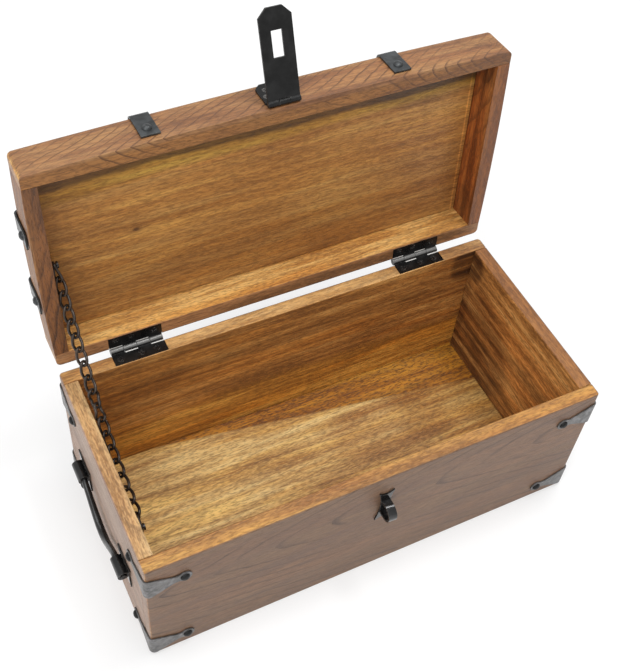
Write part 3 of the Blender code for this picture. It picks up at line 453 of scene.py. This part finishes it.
BOARDS = {
    "box_front_board": wood(
        "box_front_wood", "XZY", False, BACK_INSIDE, 3.1,
        faces=(box_rim(FRONT_RIM), (OUTSIDE, "Y", FRONT_FACE, FRONT_FACE - SKIN), LIT_LEFT_END_OUTSIDE,
               RIGHT_END_OUTSIDE),
        heart=(0.097, -0.110), taper=-0.20, ring=0.0090, wave=0.016, late=0.78),
    "box_back_board": wood(
        "box_back_wood", "XZY", False, BACK_INSIDE, 7.4,
        faces=(box_rim(BACK_RIM), BACK_OUTSIDE, LIT_LEFT_END_OUTSIDE, RIGHT_END_OUTSIDE),
        heart=(0.20, 0.10), taper=0.04, ring=0.009,
        bands=(("Z", 0.024, 0.02, 0.030, AMBER, 0.9),
               ("Z", 0.098, -0.03, 0.010, DARK_STREAK, 0.8)),
        patches=(((-0.095, BACK_WALL, 0.110), (0.055, 0.02, 0.034), DIM, 1.0),
                 # Painted shade in the corner between the back wall and the right end
                 ((0.173, BACK_WALL, 0.118), (0.016, 0.02, 0.024), DEEP_CORNER_SHADE, 0.95),
                 ((0.120, BACK_WALL, 0.098), (0.020, 0.02, 0.005), HEARTWOOD, 0.6),
                 ((0.150, BACK_WALL, 0.118), (0.016, 0.02, 0.004), HEARTWOOD, 0.5)),
        stains=(((0.174, 0.0863, RIM), (0.028, 0.02, 0.01), RIM_STAIN, 1.0),)),
    "box_left_end": wood(
        "box_left_wood", "YZX", False, LEFT_RIM, 12.9,
        faces=(LIT_LEFT_END_OUTSIDE,),
        heart=(0.04, -0.21), taper=0.07),
    "box_right_end": wood(
        "box_right_wood", "YZX", False, RIGHT_INSIDE, 17.3,
        faces=(box_rim(RIGHT_RIM), RIGHT_END_OUTSIDE),
        heart=(0.09, 0.21), taper=0.10, ring=0.007,
        patches=(((RIGHT_WALL, 0.052, 0.042), (0.05, 0.058, 0.060), DARK_HEARTWOOD, 0.92),
                 # Painted shade in the corner between the right end and the back wall
                 ((RIGHT_WALL, 0.080, 0.120), (0.02, 0.018, 0.022), DEEP_CORNER_SHADE, 0.95),
                 ((RIGHT_WALL, 0.082, 0.060), (0.02, 0.012, 0.050), HEARTWOOD, 0.6))),
    "box_bottom": wood(
        "box_floor_wood", "XYZ", False, FLOOR, 23.8,
        faces=((REAR_FLOOR, "Y", REAR_PLANK, REAR_PLANK + 0.0010, REAR_PLANK_TILT),),
        heart=(0.02, -0.05), taper=0.03,
        bands=(("Y", REAR_PLANK, REAR_PLANK_TILT, 0.0008, SEAM, 0.6),
               ("Y", -0.012, 0.04, 0.0010, SEAM, 0.5),
               ("Y", 0.028, 0.06, 0.0012, SEAM, 0.5)),
        patches=(((0.160, 0.030, FLOOR_TOP), (0.075, 0.06, 0.02), YELLOWED, 1.0),
                 ((0.075, 0.020, FLOOR_TOP), (0.06, 0.03, 0.02), DULL, 1.0),
                 # Painted shade on the floor along the front board
                 ((0.085, -0.012, FLOOR_TOP), (0.11, 0.020, 0.02), FRONT_BOARD_SHADE, 1.0),
                 ((-0.120, 0.035, FLOOR_TOP), (0.065, 0.055, 0.02), BLEACHED, 1.0))),
    "lid_front_rail": wood(
        "lid_front_wood", "XZY", True, BACK_RAIL_INSIDE, 31.5,
        faces=(lid_rim(LID_RIM), LID_FRONT_OUTSIDE, LID_TOP_OUTSIDE, LIT_LEFT_END_OUTSIDE,
               LID_RIGHT_OUTSIDE),
        heart=(0.120, -0.10), taper=-0.55, ring=0.0068, wave=0.016, late=0.74,
        knots=(((0.176, -0.093, 0.147), (0.004, 0.02, 0.003), 0.6),
               ((0.168, -0.093, 0.150), (0.003, 0.02, 0.0024), 0.5))),
    "lid_back_rail": wood(
        "lid_back_wood", "XZY", True, BACK_RAIL_INSIDE, 37.2,
        faces=(lid_rim(BACK_LID_RIM), BACK_OUTSIDE, LID_TOP_OUTSIDE, LIT_LEFT_END_OUTSIDE,
               LID_RIGHT_OUTSIDE),
        heart=(0.20, 0.14), taper=0.05),
    "lid_left_rail": wood(
        "lid_left_wood", "YZX", True, RIGHT_RAIL_INSIDE, 41.6,
        faces=(lid_rim(LEFT_LID_RIM), LID_LEFT_OUTSIDE, LID_TOP_OUTSIDE),
        heart=(0.17, -0.22), taper=0.2),
    "lid_right_rail": wood(
        "lid_right_wood", "YZX", True, RIGHT_RAIL_INSIDE, 47.7,
        faces=(lid_rim(RIGHT_LID_RIM), LID_RIGHT_OUTSIDE, LID_TOP_OUTSIDE),
        heart=(0.17, 0.22), taper=0.2,
        # Painted shade in the corners where this rail meets the front and back rails
        patches=(((RIGHT_WALL, -0.076, 0.147), (0.02, 0.020, 0.02), CORNER_SHADE, 0.7),
                 ((RIGHT_WALL, 0.064, 0.150), (0.02, 0.018, 0.02), CORNER_SHADE, 0.6))),
    "lid_top_panel": wood(
        "lid_panel_wood", "XYZ", True, LID_PANEL, 53.3,
        faces=(LID_TOP_OUTSIDE,),
        heart=(0.03, 0.19), taper=0.05,
        bands=(("Y", PANEL_TOP + 0.006, 0.02, 0.014, OLIVE, 0.9),
               ("X", 0.1745, 0, 0.0009, PALE, 0.7),
               # Painted shadow of the lid's front rail across the top of the panel
               ("Y", PANEL_TOP + 0.0015, 0, 0.0085, RIM_SHADOW, 0.88),
               ("Y", 0.075, 0, 0.055, LOW_SHADE, 1.0)),
        patches=(((0.140, PANEL_TOP + 0.004, PANEL), (0.060, 0.016, 0.02), DARK_OLIVE, 0.8),
                 ((-0.075, -0.0435, PANEL), (0.058, 0.0015, 0.02), PALE, 0.42)),
        knots=(((-0.109, 0.0012, PANEL), (0.0045, 0.0026, 0.02), 0.9),
               ((0.138, 0.038, PANEL), (0.008, 0.002, 0.02), 0.4),
               ((0.057, 0.004, PANEL), (0.004, 0.003, 0.02), 0.3),
               ((0.136, -0.022, PANEL), (0.003, 0.002, 0.02), 0.3))),
}

# Irons
# Each noise is its waves a metre, detail and roughness
BROAD_NOISE = (90, 3.0, 0.6)
FINE_NOISE = (1500, 2.0, 0.6)
PATINA_AND_SHEEN_NOISE = (160, 4.0, 0.7)
WEAR_NOISE = (420, 3.0, 0.7)
WORN_EDGE = 0.0005
# Painted highlight on the side of a hinge's knuckles that faces up and forward
BARREL_HIGHLIGHT = (112, 111, 109)
# Painted glint along the gaps beside a hinge's knuckles
KNUCKLE_GAP_GLINT = (250, 248, 244)
# The sideways and upward parts of the direction in which a knuckle gets its painted highlight
HIGHLIGHT_SIDE = (-0.45, 0.89)


def knuckle_highlights(graph, vector, shade, first_quarters):
    """Return a hinge leaf's colour with painted knuckle highlights, and painted glints at the edges
    beside the others.

    The edges lie in the first and third quarter of the hinge's width, or else in the second and
    the fourth.
    """
    x, y, z = graph.split(vector)
    across = graph.math("SUBTRACT", y, HINGE_AXIS.y)
    up = graph.math("SUBTRACT", z, HINGE_AXIS.z)
    squares = graph.math("ADD", graph.math("MULTIPLY", across, across),
                         graph.math("MULTIPLY", up, up))
    radius = graph.math("SQRT", squares)
    towards = graph.math("ADD", graph.math("MULTIPLY", across, HIGHLIGHT_SIDE[0]),
                         graph.math("MULTIPLY", up, HIGHLIGHT_SIDE[1]))
    strip = graph.step(graph.math("DIVIDE", towards, radius), 0.78, 0.97)
    strip = graph.math("MULTIPLY", strip, graph.step(radius, 1.06 * KNUCKLE_RADIUS, KNUCKLE_RADIUS))
    # The side of the barrel that faces up and forward gets a painted highlight
    shade = graph.mix(graph.math("MULTIPLY", strip, 0.8), shade, srgb(*BARREL_HIGHLIGHT))
    # Both hinges carry the same pattern from their left ends
    from_left = graph.math("MULTIPLY_ADD", graph.math("GREATER_THAN", x, 0.0), -2 * HINGE_PLACE, x)
    from_left = graph.math("ADD", from_left, HINGE_PLACE + HINGE_WIDTH / 2)
    share = graph.math("FRACT", graph.math("DIVIDE", from_left, HINGE_WIDTH / 2))
    if first_quarters:
        beside = graph.math("LESS_THAN", share, 0.48)
    else:
        beside = graph.math("GREATER_THAN", share, 0.52)
    # Painted glint along the gap beside each of the other leaf's knuckles
    line = graph.math("MULTIPLY", graph.step(radius, 1.45 * KNUCKLE_RADIUS, 1.35 * KNUCKLE_RADIUS),
                      graph.math("GREATER_THAN", radius, 1.08 * KNUCKLE_RADIUS))
    return shade, graph.math("MULTIPLY", line, beside)


def iron(name, colour, rough, metal, dents, dent_scale, wear_and_glint_colour, wear=0.6, patina_and_sheen=None, shine=0.5,
         first_quarters=None):
    """Return a dark iron, hammered, uneven in gloss and with bright edge wear, or a hinge leaf's
    painted glints.

    first_quarters is for the leaves of a hinge, as knuckle_highlights has it.
    """
    graph = Graph(name)
    vector = graph.coordinates()
    broad = graph.noise(vector, *BROAD_NOISE)
    fine = graph.noise(vector, *FINE_NOISE)
    dent = graph.node("ShaderNodeTexVoronoi", feature="SMOOTH_F1")
    graph.feed(dent.inputs["Vector"], vector)
    dent.inputs["Scale"].default_value = dent_scale
    dent.inputs["Smoothness"].default_value = 0.7
    dark = srgb(*colour)
    light = tuple(min(1, part * 2.3 + 0.004) for part in dark[:3]) + (1.0,)
    shade = graph.mix(graph.step(broad, 0.35, 0.7), dark, light)
    # Pale spots, partly real patina and partly a painted sheen of reflected light
    if patina_and_sheen:
        spots = graph.step(graph.noise(vector, *PATINA_AND_SHEEN_NOISE), 0.45, 0.68, 0.0, 0.8)
        shade = graph.mix(spots, shade, srgb(*patina_and_sheen))
    if first_quarters is None:
        rounded = graph.node("ShaderNodeBevel", samples=4)
        rounded.inputs["Radius"].default_value = WORN_EDGE
        geometry = graph.node("ShaderNodeNewGeometry")
        dot = graph.node("ShaderNodeVectorMath", operation="DOT_PRODUCT")
        graph.feed(dot.inputs[0], rounded.outputs[0])
        graph.feed(dot.inputs[1], geometry.outputs["Normal"])
        edge = graph.step(dot.outputs["Value"], 0.985, 0.80)
        wear_and_glint = graph.math("MULTIPLY", edge,
                            graph.step(graph.noise(vector, *WEAR_NOISE), 0.42, 0.62, 0.0, wear))
    else:
        # A hinge leaf gets painted glints in place of edge wear
        shade, wear_and_glint = knuckle_highlights(graph, vector, shade, first_quarters)
    graph.feed(graph.shader.inputs["Base Color"], graph.mix(wear_and_glint, shade, srgb(*wear_and_glint_colour)))
    graph.shader.inputs["Metallic"].default_value = metal
    graph.shader.inputs["Specular IOR Level"].default_value = shine
    gloss = graph.math("MULTIPLY_ADD", broad, 0.30, rough - 0.15)
    graph.feed(graph.shader.inputs["Roughness"], gloss)
    graph.bump(graph.math("MULTIPLY_ADD", fine, 0.10, dent.outputs["Distance"]), dents, 0.8)
    return graph.material


BLACK = iron("black_lacquer_iron", (14, 13, 13), 0.24, 0.20, 0.00005, 420, (150, 146, 140))
# The hinge leaves' bright edge colour is a painted glint
HINGE_BOX = iron("hinge_box_iron", (11, 11, 11), 0.30, 0.30, 0.00003, 420, KNUCKLE_GAP_GLINT,
                 first_quarters=False)
HINGE_LID = iron("hinge_lid_iron", (11, 11, 11), 0.30, 0.30, 0.00003, 420, KNUCKLE_GAP_GLINT,
                 first_quarters=True)
SCREW_IRON = iron("bright_screw_iron", (70, 68, 66), 0.34, 0.8, 0.00004, 420, (200, 198, 194),
                  wear=0.8)
HASP = iron("hasp_iron", (10, 10, 10), 0.46, 0.0, 0.00010, 420, (120, 118, 114), shine=0.20)
HAMMERED = iron("hammered_iron", (44, 46, 47), 0.42, 0.55, 0.0006, 230, (128, 128, 124), wear=0.7)
# The brackets' grey and pale spots are partly real patina and partly a painted sheen of reflected
# light
PATINA_AND_SHEEN = iron("patina_and_sheen_iron", (66, 65, 64), 0.46, 0.35, 0.0004, 300, (126, 123, 120),
              patina_and_sheen=(122, 120, 122))
CHAIN = iron("chain_iron", (40, 33, 28), 0.36, 0.6, 0.0002, 600, (140, 120, 100), wear=0.4)

# CAD pieces: the end of a node's name, its material and the width of its broken edges
BOARD_EDGE = 0.0004
FITTINGS = (
    ("chain_screw", BLACK, 0.0003),
    ("bracket", PATINA_AND_SHEEN, 0.00025),
    ("cross_strap", HAMMERED, 0.0003),
    ("long_strap", HAMMERED, 0.0003),
    ("staple_plate", BLACK, 0.00025),
    ("staple_loop", BLACK, 0.00025),
    ("mount", BLACK, 0.00025),
    ("bail", BLACK, 0.00025),
    ("hasp_strap", HASP, 0.0002),
    ("hasp_plate", HASP, 0.0002),
    ("hinge_box_leaf", HINGE_BOX, 0.0002),
    ("hinge_lid_leaf", HINGE_LID, 0.0002),
    ("pin", BLACK, 0.0002),
)
SAME_PLACE = 0.000002
SHARP_EDGE = math.radians(32)


def dress(node, material, bevel):
    """Give a CAD node its material, welded smooth faces and broken edges."""
    obj = NODES[node]
    obj.data.materials.clear()
    obj.data.materials.append(material)
    for stored in ("custom_normal", "sharp_edge"):
        if stored in obj.data.attributes:
            obj.data.attributes.remove(obj.data.attributes[stored])
    for face in obj.data.polygons:
        face.use_smooth = True
    obj.modifiers.new("weld", "WELD").merge_threshold = SAME_PLACE
    edge = obj.modifiers.new("edge", "BEVEL")
    edge.width = bevel
    edge.segments = 2
    edge.limit_method = "ANGLE"
    edge.angle_limit = SHARP_EDGE
    obj.modifiers.new("normals", "WEIGHTED_NORMAL").keep_sharp = False


for node, material in BOARDS.items():
    dress(node, material, BOARD_EDGE)
for node in NODES:
    for ending, material, bevel in FITTINGS:
        if node.endswith(ending):
            dress(node, material, bevel)

# Pieces that are made here
SHARP_CREASE = math.radians(35)


def piece(name, bm, material, body, place):
    """Make a smooth-shaded piece from a bmesh, put it in its place and let it ride on a body."""
    bmesh.ops.transform(bm, matrix=place, verts=bm.verts)
    bmesh.ops.recalc_face_normals(bm, faces=bm.faces)
    for face in bm.faces:
        face.smooth = True
    for edge in bm.edges:
        edge.smooth = edge.calc_face_angle(0) < SHARP_CREASE
    mesh = bpy.data.meshes.new(name)
    bm.to_mesh(mesh)
    bm.free()
    mesh.materials.append(material)
    obj = bpy.data.objects.new(name, mesh)
    bpy.context.scene.collection.objects.link(obj)
    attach(obj, body)
    return obj


def facing(point, outward, spin=0.0):
    """Return the matrix that puts a piece made along +Z at a point, facing outward."""
    turn = Vector(outward).to_track_quat("Z", "Y").to_matrix().to_4x4()
    return Matrix.Translation(point) @ turn @ Matrix.Rotation(spin, 4, "Z")


def turned(profile, steps, shape):
    """Return a solid of revolution about Z from (radius, height) points, top first.

    shape(x, y, z) gives each point's new height.
    """
    bm = bmesh.new()
    rings = []
    for radius, height in profile:
        if radius == 0:
            rings.append([bm.verts.new((0, 0, height))])
            continue
        rings.append([bm.verts.new((radius * math.cos(2 * math.pi * step / steps),
                                    radius * math.sin(2 * math.pi * step / steps), height))
                      for step in range(steps)])
    for upper, lower in zip(rings, rings[1:]):
        for step in range(steps):
            following = (step + 1) % steps
            if len(upper) == 1:
                bm.faces.new((upper[0], lower[step], lower[following]))
            elif len(lower) == 1:
                bm.faces.new((upper[step], lower[0], upper[following]))
            else:
                bm.faces.new((upper[step], lower[step], lower[following], upper[following]))
    for vert in bm.verts:
        vert.co.z = shape(*vert.co)
    return bm


def tube(points, radius, sides):
    """Return a round wire along a closed line of points."""
    bm = bmesh.new()
    count = len(points)
    rings = []
    points = [Vector(point) for point in points]
    normal = None
    for index, point in enumerate(points):
        ahead = (points[(index + 1) % count] - points[index - 1]).normalized()
        if normal is None:
            normal = ahead.orthogonal().normalized()
        normal = (normal - ahead * normal.dot(ahead)).normalized()
        other = ahead.cross(normal)
        angles = [2 * math.pi * side / sides for side in range(sides)]
        rings.append([bm.verts.new(point + radius * (normal * math.cos(a) + other * math.sin(a)))
                      for a in angles])
    # The last ring is turned against the first, so it joins the sides that lie nearest
    first, last = rings[0], rings[-1]
    shift = min(range(sides), key=lambda step: (last[0].co - first[step].co).length)
    for index in range(count):
        near = rings[index]
        far = rings[(index + 1) % count]
        turn = shift if index == count - 1 else 0
        for side in range(sides):
            following = (side + 1) % sides
            bm.faces.new((near[side], near[following], far[(following + turn) % sides],
                          far[(side + turn) % sides]))
    return bm


# Screws
SCREW_RADIUS = 0.0026
SCREW_SIDES = 40
SCREW_TOP = 0.00015
SCREW_FALL = 6
# The radii of the head's rings, close together where the recess and its arms end
SCREW_RINGS = (0.0002, 0.00039, 0.00041, 0.0007, 0.0010, 0.0013, 0.00154, 0.00156, 0.0020, 0.0023)
SCREW_EDGE = ((SCREW_RADIUS, 0.00004), (SCREW_RADIUS, -0.0001), (0, -0.0007))
RECESS_HALF_WIDTH = 0.00040
RECESS_REACH = 0.00155
RECESS_DEPTH = 0.0006
LEAF_DEPTH = 0.0002
# Places of the screws in a leaf, from the hinge's middle and from the world's, lid shut
BOX_LEAF_SCREWS = ((-0.016, 0.0863), (0.001, 0.0867), (0.014, 0.0868))
LID_LEAF_SCREWS = ((-0.016, 0.0848), (-0.003, 0.0845), (0.0152, 0.0858))
HASP_PLATE_FACE = -0.0953
HASP_PLATE_SCREWS = ((-0.0060, 0.1545), (0.0060, 0.1545), (-0.0084, 0.1470), (0.0084, 0.1470))


def screw_face(x, y, z):
    """Return the height of a countersunk head's face, with its cross recess."""
    inside_arm = min(abs(x), abs(y)) < RECESS_HALF_WIDTH and max(abs(x), abs(y)) < RECESS_REACH
    return z - RECESS_DEPTH if inside_arm and z > 0 else z


def screw(name, point, outward, body, spin, material=BLACK):
    """Make a flush countersunk screw head with a cross recess."""
    top = [(radius, SCREW_TOP - SCREW_FALL * radius * radius) for radius in (0, *SCREW_RINGS)]
    head = turned(top + list(SCREW_EDGE), SCREW_SIDES, screw_face)
    piece(name, head, material, body, facing(point, outward, spin))


def hinge_screws():
    """Make the three screws in each leaf of both hinges."""
    shut = lid_matrix()
    down = shut.to_3x3() @ Vector((0, 0, -1))
    for side, centre in (("left", -HINGE_PLACE), ("right", HINGE_PLACE)):
        for number, (x, y) in enumerate(BOX_LEAF_SCREWS):
            screw("{}_hinge_box_screw_{}".format(side, number + 1),
                  (centre + x, y, RIM - LEAF_DEPTH), (0, 0, 1), "box", 0.4 + number)
        for number, (x, y) in enumerate(LID_LEAF_SCREWS):
            screw("{}_hinge_lid_screw_{}".format(side, number + 1),
                  shut @ Vector((centre + x, y, RIM + LEAF_DEPTH)), down, "lid", 1.1 + number)


def hasp_screws():
    """Make the four small screws in the hasp's plate on the front of the lid."""
    shut = lid_matrix()
    forward = shut.to_3x3() @ Vector((0, -1, 0))
    for number, (x, z) in enumerate(HASP_PLATE_SCREWS):
        screw("hasp_plate_screw_{}".format(number + 1),
              shut @ Vector((x, HASP_PLATE_FACE, z)), forward, "lid", 0.7 + number, SCREW_IRON)


# Nails
NAIL_RADIUS = 0.0036
NAIL_HEIGHT = 0.0024
NAIL_SIDES = 28
NAIL_STEPS = 7
NAIL_SUNK = -0.0002
BRACKET_PLATE = 0.0013
BRACKET_ARM = 0.029
BRACKET_LEVELS = (("upper", RIM - 0.024), ("lower", 0.0145))
# Places of a bracket's two nails, from the middle of the box
ON_FACE = (HALF_LENGTH - BRACKET_ARM, HALF_DEPTH + BRACKET_PLATE)
ON_END = (HALF_LENGTH + BRACKET_PLATE, HALF_DEPTH - BRACKET_ARM)
STRAP = 0.0017
STRAP_NAIL_LEVEL = 0.147
CROSS_STRAP_PLACE = 0.097
LONG_STRAP_PLACE = 0.032
LID_FRONT = -0.0929
LONG_STRAP_FACE = 0.19245


def nail(name, point, outward, body, material):
    """Make a hand-forged domed nail head over the plain one of the frame."""
    profile = [(0, NAIL_HEIGHT)]
    for step in range(1, NAIL_STEPS + 1):
        angle = math.pi / 2 * step / NAIL_STEPS
        profile.append((NAIL_RADIUS * math.sin(angle), NAIL_HEIGHT * math.cos(angle)))
    profile += [(NAIL_RADIUS, NAIL_SUNK), (0, NAIL_SUNK)]
    # Each nail's place gives it its own unevenness
    phase = 37 * point[0] * 1000 + 11 * point[2] * 1000

    def forged(x, y, z):
        return z * (1 + 0.05 * math.sin(1900 * x + phase) * math.cos(1700 * y + phase))

    head = turned(profile, NAIL_SIDES, forged)
    piece(name, head, material, body, facing(point, outward))


def nails():
    """Make the nails of the corner brackets and of the lid's straps."""
    for depth, side_y in (("front", -1), ("back", 1)):
        for length, side_x in (("left", -1), ("right", 1)):
            for level, z in BRACKET_LEVELS:
                name = "_".join((depth, length, level, "nail"))
                nail(name + "_1", (side_x * ON_FACE[0], side_y * ON_FACE[1], z),
                     (0, side_y, 0), "box", HASP)
                nail(name + "_2", (side_x * ON_END[0], side_y * ON_END[1], z),
                     (side_x, 0, 0), "box", HASP)
    shut = lid_matrix()
    turn = shut.to_3x3()
    for side, sign in (("left", -1), ("right", 1)):
        x = sign * CROSS_STRAP_PLACE
        places = [("cross_strap_front", (x, LID_FRONT - STRAP, STRAP_NAIL_LEVEL), (0, -1, 0)),
                  ("cross_strap_back", (x, HALF_DEPTH + STRAP, STRAP_NAIL_LEVEL), (0, 1, 0))]
        for end, y in (("front", -LONG_STRAP_PLACE), ("back", LONG_STRAP_PLACE)):
            end_face = (sign * LONG_STRAP_FACE, y, STRAP_NAIL_LEVEL)
            places += [("long_strap_" + end, end_face, (sign, 0, 0)),
                       ("crossing_" + end, (x, y, LID_TOP + 2 * STRAP), (0, 0, 1))]
        for name, point, outward in places:
            nail("{}_{}_nail".format(side, name), shut @ Vector(point), turn @ Vector(outward),
                 "lid", HAMMERED)


# Stay chain
LINK_WIRE = 0.00115
LINK_HALF_WIDTH = 0.0033
LINK_REACH = 0.0016
SCREW_REACH = 0.0022
END_REACH = 0.0032
END_HALF_WIDTH = 0.0036
LINK_ROLL = math.radians(45)
WIRE_SIDES = 12
BOW_STEPS = 10
SIDE_STEPS = 6
LID_LINKS = 10
OPEN_PIVOT = (-0.1749, 0.048073, 0.139342)
STAND_OFF = 0.0009
# The shares of a link's length between which it twists, where that isn't all of it
TWISTS = {"link_10": (0, 0.6), "link_11": (0.4, 1), "link_19": (0, 0.35)}


def link_line(length, back, on, half_width, rolls, twist):
    """Return the middle line of a twisted link along +Y.

    It starts at its joint, reaches back behind it and on beyond the next one, length away.
    """
    bow = [(math.cos(a) * half_width, math.sin(a) * half_width)
           for a in (math.pi * step / BOW_STEPS - math.pi / 2 for step in range(BOW_STEPS + 1))]
    far = [(length + on - half_width + along, across) for along, across in bow]
    near = [(half_width - back - along, -across) for along, across in bow]
    line = []
    for run, following in ((far, near), (near, far)):
        line += run
        start, end = run[-1], following[0]
        for step in range(1, SIDE_STEPS):
            share = step / SIDE_STEPS
            line.append(tuple(a + (b - a) * share for a, b in zip(start, end)))
    points = []
    for along, across in line:
        share = ((along + back) / (length + on + back) - twist[0]) / (twist[1] - twist[0])
        share = min(1, max(0, share))
        share = share * share * (3 - 2 * share)
        roll = rolls[0] + (rolls[1] - rolls[0]) * share
        points.append((across * math.sin(roll), along, across * math.cos(roll)))
    return points


def chain_links():
    """Make each link of the stay chain between its two pivots, off the wall between the screws."""
    joints = {joint["child"]: joint for joint in frame["joints"]}
    bodies = sorted(body for body in joints if body.startswith("link_"))
    pivots = [Vector(joints[body]["pos_m"]) for body in bodies]
    # The links that hang from the box turn at their far pivots, and no joint is at the pivot
    # between the two runs
    pivots.insert(LID_LINKS, Vector(OPEN_PIVOT))
    for index, body in enumerate(bodies):
        start, ahead = pivots[index], pivots[index + 1] - pivots[index]
        first, last = index == 0, index == len(bodies) - 1
        back = SCREW_REACH if first else LINK_REACH
        on = END_REACH if last else LINK_REACH
        half_width = END_HALF_WIDTH if last else LINK_HALF_WIDTH
        start_roll = 0 if first else LINK_ROLL
        end_roll = -LINK_ROLL if first else 0 if last else math.pi - LINK_ROLL
        line = link_line(ahead.length, back, on, half_width, (start_roll, end_roll),
                         TWISTS.get(body, (0, 1)))
        near, far = (0 if first else STAND_OFF), (0 if last else STAND_OFF)
        stood_off = []
        for x, y, z in line:
            share = min(1, max(0, y / ahead.length))
            stood_off.append((x + near + (far - near) * share, y, z))
        place = Matrix.Translation(start) @ Matrix.Rotation(math.atan2(ahead.z, ahead.y), 4, "X")
        wire = tube(stood_off, LINK_WIRE, WIRE_SIDES)
        link = piece("stay_" + body, wire, CHAIN, body, place)
        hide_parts("chain_" + body)


hinge_screws()
hasp_screws()
nails()
chain_links()

# Camera
camera_data = bpy.data.cameras.new("camera")
camera_data.lens = CAMERA_LENS
camera_data.sensor_width = CAMERA_SENSOR
camera_data.clip_end = 50
camera = bpy.data.objects.new("camera", camera_data)
bpy.context.scene.collection.objects.link(camera)
axes = zip(CAMERA_RIGHT, CAMERA_UP, CAMERA_BACK, CAMERA_PLACE)
camera.matrix_world = Matrix((*axes, (0, 0, 0, 1)))
bpy.context.scene.camera = camera

# Studio
WORLD_LIGHT = 0.50
FLOOR_HALF_SIZE = 6.0
FLOOR_LEVEL = -0.0003
SEEN_SHARE = 0.62
NEAR_GLOW, FAR_GLOW = 0.46, 0.80
NEAR, FAR = 0.35, 1.6
WHITE = (1, 1, 1, 1)
LAMP_TARGET = (0, 0, 0.1)
# Each lamp's place, width and watts
LAMPS = {
    "key_light": ((-1.1, -0.9, 1.7), 1.4, 22),
    "gloss_light": ((0.45, 0.0, 1.7), 0.30, 6),
    "top_light": ((0.1, 0.1, 2.0), 1.2, 16),
}


def seen_directly(tree):
    """Return 1 for rays from the camera, by a mirror or through glass, and 0 for other light."""
    path = tree.nodes.new("ShaderNodeLightPath")
    highest = path.outputs["Is Camera Ray"]
    for kind in ("Is Glossy Ray", "Is Transmission Ray"):
        larger = tree.nodes.new("ShaderNodeMath")
        larger.operation = "MAXIMUM"
        tree.links.new(highest, larger.inputs[0])
        tree.links.new(path.outputs[kind], larger.inputs[1])
        highest = larger.outputs[0]
    return highest


def make_world():
    """Make a world that lights softly and is seen as white."""
    world = bpy.data.worlds.new("studio")
    bpy.context.scene.world = world
    world.use_nodes = True
    tree = world.node_tree
    tree.nodes.clear()
    mix = tree.nodes.new("ShaderNodeMixShader")
    tree.links.new(seen_directly(tree), mix.inputs[0])
    for socket, strength in ((mix.inputs[1], WORLD_LIGHT), (mix.inputs[2], 1.0)):
        background = tree.nodes.new("ShaderNodeBackground")
        background.inputs["Color"].default_value = WHITE
        background.inputs["Strength"].default_value = strength
        tree.links.new(background.outputs[0], socket)
    output = tree.nodes.new("ShaderNodeOutputWorld")
    tree.links.new(mix.outputs[0], output.inputs["Surface"])


def make_floor():
    """Make a pale floor that looks white and keeps the object's soft shadow.

    It glows a little to be seen as white, more so far away, where the lamps don't reach. The
    camera sees its own colour darker than the light from it is, so that the shadow shows.
    """
    mesh = bpy.data.meshes.new("floor")
    corners = ((-1, -1, 0), (1, -1, 0), (1, 1, 0), (-1, 1, 0))
    mesh.from_pydata([FLOOR_HALF_SIZE * Vector(corner) for corner in corners], [], [(0, 1, 2, 3)])
    floor = bpy.data.objects.new("floor", mesh)
    floor.location.z = FLOOR_LEVEL
    bpy.context.scene.collection.objects.link(floor)
    graph = Graph("floor_white")
    grain = graph.noise(graph.coordinates(), 40, 2.0)
    pale = graph.ramp(grain, (0.0, (0.80, 0.80, 0.80, 1)), (1.0, (0.82, 0.82, 0.82, 1)))
    shown = graph.node("ShaderNodeLightPath").outputs["Is Camera Ray"]
    graph.feed(graph.shader.inputs["Base Color"],
               graph.mix(shown, pale, (SEEN_SHARE, SEEN_SHARE, SEEN_SHARE, 1), "MULTIPLY"))
    graph.shader.inputs["Roughness"].default_value = 0.9
    graph.shader.inputs["Specular IOR Level"].default_value = 0.0
    graph.shader.inputs["Emission Color"].default_value = WHITE
    away = distance_to(graph, graph.coordinates(), (0, 0, 0))
    glow = graph.step(away, NEAR, FAR, NEAR_GLOW, FAR_GLOW)
    graph.feed(graph.shader.inputs["Emission Strength"],
               graph.math("MULTIPLY", seen_directly(graph.tree), glow))
    mesh.materials.append(graph.material)


def lamp(name, place, size, watts):
    """Make a square soft light that faces the chest."""
    light = bpy.data.lights.new(name, "AREA")
    light.shape = "RECTANGLE"
    light.size = size
    light.size_y = size
    light.energy = watts
    obj = bpy.data.objects.new(name, light)
    obj.location = place
    obj.rotation_euler = (Vector(LAMP_TARGET) - Vector(place)).to_track_quat("-Z", "Y").to_euler()
    bpy.context.scene.collection.objects.link(obj)


make_world()
make_floor()
for name, values in LAMPS.items():
    lamp(name, *values)
bpy.context.scene.view_settings.view_transform = "Standard"
